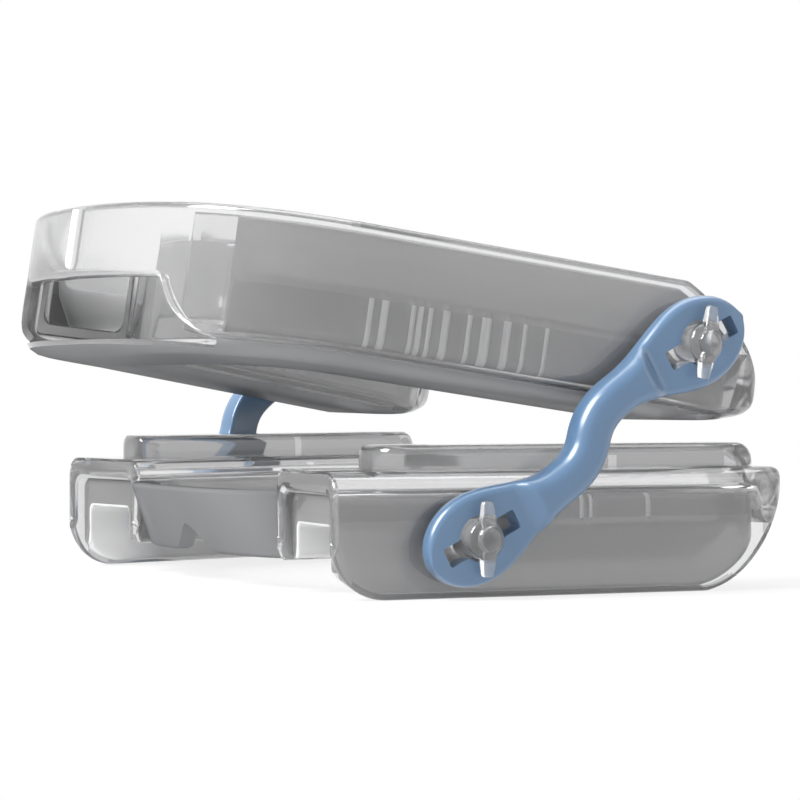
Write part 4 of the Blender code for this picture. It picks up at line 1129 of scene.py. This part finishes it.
def upper_painted_shade_underside(middles, normals):
    """The plate's face and the front edge below the window, which look down: they take the grey
    painted shade.
    """
    return (off_upper(middles)[1] < FACE_HEIGHT) & (normals[:, 2] < FACING_DOWN)


def upper_painted_shade_heel_and_rims(middles, normals):
    """The solid heel and, along the arms, the strip of wall over the liner: they take the darker
    painted shade.
    """
    y, height = off_upper(middles)
    rim = np.minimum(UPPER_HEIGHTS[0], upper_top(y))
    strip = (y > ARM_START) & (height > rim - UPPER_SKIRT_DROP)
    return (y > heel_y - HEEL_WALL) | (strip & (np.abs(middles[:, 0]) > LOWER_SHOULDERS[1][0]))


def lower_painted_shade_ramp(middles, normals):
    """What lies between the tongue sides of the two arms: it takes the grey painted shade."""
    return np.abs(middles[:, 0]) < LOWER_SHOULDERS[1][0] - RAMP_GAP


def lower_painted_shade_heels_pads_rims(middles, normals):
    """The solid heels, the bite pads and the strip of wall below the liners: they take the darker
    painted shade.
    """
    y, height = middles[:, 1] - lower_y, middles[:, 2]
    pads_and_rims = (height > LOWER_HEIGHTS[0] + PAD_FOOT) | (height < LOWER_STRIP)
    return pads_and_rims | (y > lower_heel - HEEL_WALL)


# Material 1 of a shell is its grey painted shade, and material 2 its darker painted shade
choose_faces(upper_shell, upper_painted_shade_underside, upper_painted_shade_heel_and_rims)
choose_faces(lower_shell, lower_painted_shade_ramp, lower_painted_shade_heels_pads_rims)

pieces = [
    (upper_shell, "upper_shell", "upper_tray", "clear_shell", shell_plastics),
    (lower_shell, "lower_shell", "lower_tray", "clear_shell", shell_plastics),
]
blue = blue_plastic()
for side, word in LEFT_RIGHT:
    upper, lower, strap = upper_liners[word], lower_liners[word], straps[word]
    pieces += [
        (upper, f"upper_liner_{word}", "upper_tray", "clear_liner", liner_plastics),
        (lower, f"lower_liner_{word}", "lower_tray", "clear_liner", liner_plastics[:FLAP]),
        (strap, f"{word}_strap", f"{word}_strap", "blue_strap", [blue]),
    ]
mark.data.materials.append(white_plastic())
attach(mark, "upper_tray")
for piece, node, body, slot, materials in pieces:
    faces = piece.data.polygons
    chosen = np.zeros(len(faces), dtype=np.int32)
    faces.foreach_get("material_index", chosen)
    piece.data.materials.clear()
    for material in materials:
        piece.data.materials.append(material)
    faces.foreach_set("material_index", chosen)
    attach(piece, body)
    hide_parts(node)
    low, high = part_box(node)
    corners = np.array([v.co for v in piece.data.vertices])
    past = np.concatenate([corners.min(0) - low, corners.max(0) - high]) / MM
    print(node, "differs at its low and high corners by mm", np.round(past, 2))

# %% [markdown]
# ## Floor, light and camera
#
# The background is pure white, as in the photo: the floor and the world answer white to
# the camera and to rays that come through or off the plastic, and the lamps stay plain.
# Away from the object the floor turns fully white, so that no horizon shows.

# %% Floor and backdrop
FLOOR_SIZE = 1.6
SHADOW_END, WHITE_START = 0.03, 0.09  # distances from the middle, in metres
NEAR_WHITE = 0.8  # share of white at the object: the rest shows its shadow


def to_the_eye(shade):
    """1 for camera, reflected and transmitted rays, and 0 for the others."""
    path = shade.node("ShaderNodeLightPath")
    rays = [shade.out(path, f"Is {kind} Ray") for kind in ("Camera", "Glossy", "Transmission")]
    return shade.maths("MINIMUM", rays[0] + rays[1] + rays[2], 1.0)


def surface(shade, share, plain, white, output):
    """Mix a plain shader and a white one by a share, and lead it to the output node."""
    plain, white = shade.out(plain), shade.out(white)
    mixed = shade.node("ShaderNodeMixShader", Fac=share, _1=plain, _2=white)
    shade.tree.links.new(mixed.outputs[0], shade.node(output).inputs["Surface"])


def emptied(holder):
    """The node tree of a material or world, with nothing in it."""
    holder.use_nodes = True
    holder.node_tree.nodes.clear()
    return Shade(holder.node_tree)


floor_material = bpy.data.materials.new("floor_white")
shade = emptied(floor_material)
plain = shade.node("ShaderNodeBsdfDiffuse", Color=(0.9, 0.9, 0.9, 1.0))
white = shade.node("ShaderNodeEmission", Color=(1.0, 1.0, 1.0, 1.0), Strength=1.0)
place = shade.out(shade.node("ShaderNodeTexCoord"), "Object")
away = shade.out(shade.node("ShaderNodeVectorMath", {"operation": "LENGTH"}, _0=place), "Value")
ends = {"_1": SHADOW_END, "_2": WHITE_START, "_3": NEAR_WHITE, "_4": 1.0}
far = shade.out(shade.node("ShaderNodeMapRange", {"clamp": True}, _0=away, **ends))
surface(shade, to_the_eye(shade) * far, plain, white, "ShaderNodeOutputMaterial")

bpy.ops.mesh.primitive_plane_add(size=FLOOR_SIZE)
floor_plane = bpy.context.object
floor_plane.name = "floor"
floor_plane.data.materials.append(floor_material)

world = bpy.data.worlds.new("studio")
bpy.context.scene.world = world
shade = emptied(world)
around = shade.node("ShaderNodeBackground", Color=(0.85, 0.88, 0.92, 1.0), Strength=0.26)
white = shade.node("ShaderNodeBackground", Color=(1.0, 1.0, 1.0, 1.0), Strength=1.0)
surface(shade, to_the_eye(shade), around, white, "ShaderNodeOutputWorld")

# %% Lamps
OBJECT_MIDDLE = Vector((0.0, 0.0, 0.015))


def aimed(obj, place, direction):
    """Put a lamp or camera at a place, so that it looks in a direction."""
    obj.location = place
    obj.rotation_mode = "QUATERNION"
    obj.rotation_quaternion = direction.to_track_quat("-Z", "Y")
    bpy.context.scene.collection.objects.link(obj)


def softbox(name, place, size, power):
    """Rectangular lamp, size in metres and power in watts, that looks at the object."""
    light = bpy.data.lights.new(name, "AREA")
    light.shape = "RECTANGLE"
    light.size, light.size_y = size
    light.energy = power
    aimed(bpy.data.objects.new(name, light), place, OBJECT_MIDDLE - place)


CAMERA_TURN = math.radians(59.5)
TOWARDS = Vector((math.sin(CAMERA_TURN), -math.cos(CAMERA_TURN), 0.0))
SIDEWAYS = Vector((math.cos(CAMERA_TURN), math.sin(CAMERA_TURN), 0.0))


def seen_from_camera(right, up, near):
    """Point given by its distances right of, above and before the object's middle."""
    return SIDEWAYS * right + TOWARDS * near + Vector((0.0, 0.0, up))


softbox("key", seen_from_camera(-0.31, 0.36, 0.18), (0.26, 0.30), 3.8)
softbox("fill", seen_from_camera(0.40, 0.20, 0.15), (0.25, 0.40), 0.2)
softbox("top", seen_from_camera(0.0, 0.45, -0.10), (0.50, 0.30), 1.2)

# %% Camera
CAMERA_PLACE = (215.4, -120.8, 17.3)
CAMERA_DIP = math.radians(-0.45)
IMAGE_PIXELS, FOCAL_PIXELS, MIDDLE_SHIFT_PIXELS = 800.0, 2840.0, 7.5
SENSOR = 36.0

camera_data = bpy.data.cameras.new("camera")
camera_data.sensor_width = SENSOR
camera_data.lens = SENSOR * FOCAL_PIXELS / IMAGE_PIXELS
camera_data.shift_x = MIDDLE_SHIFT_PIXELS / IMAGE_PIXELS
camera = bpy.data.objects.new("camera", camera_data)
looking = -TOWARDS * math.cos(CAMERA_DIP) + Vector((0.0, 0.0, math.sin(CAMERA_DIP)))
aimed(camera, Vector(CAMERA_PLACE) * MM, looking)
camera_data.clip_start, camera_data.clip_end = 0.01, 10.0
bpy.context.scene.camera = camera

scene = bpy.context.scene
scene.view_settings.view_transform = "Standard"
scene.cycles.max_bounces = 32
scene.cycles.transmission_bounces = 32
scene.cycles.glossy_bounces = 8
print("camera", round(camera_data.lens, 1), "mm lens")
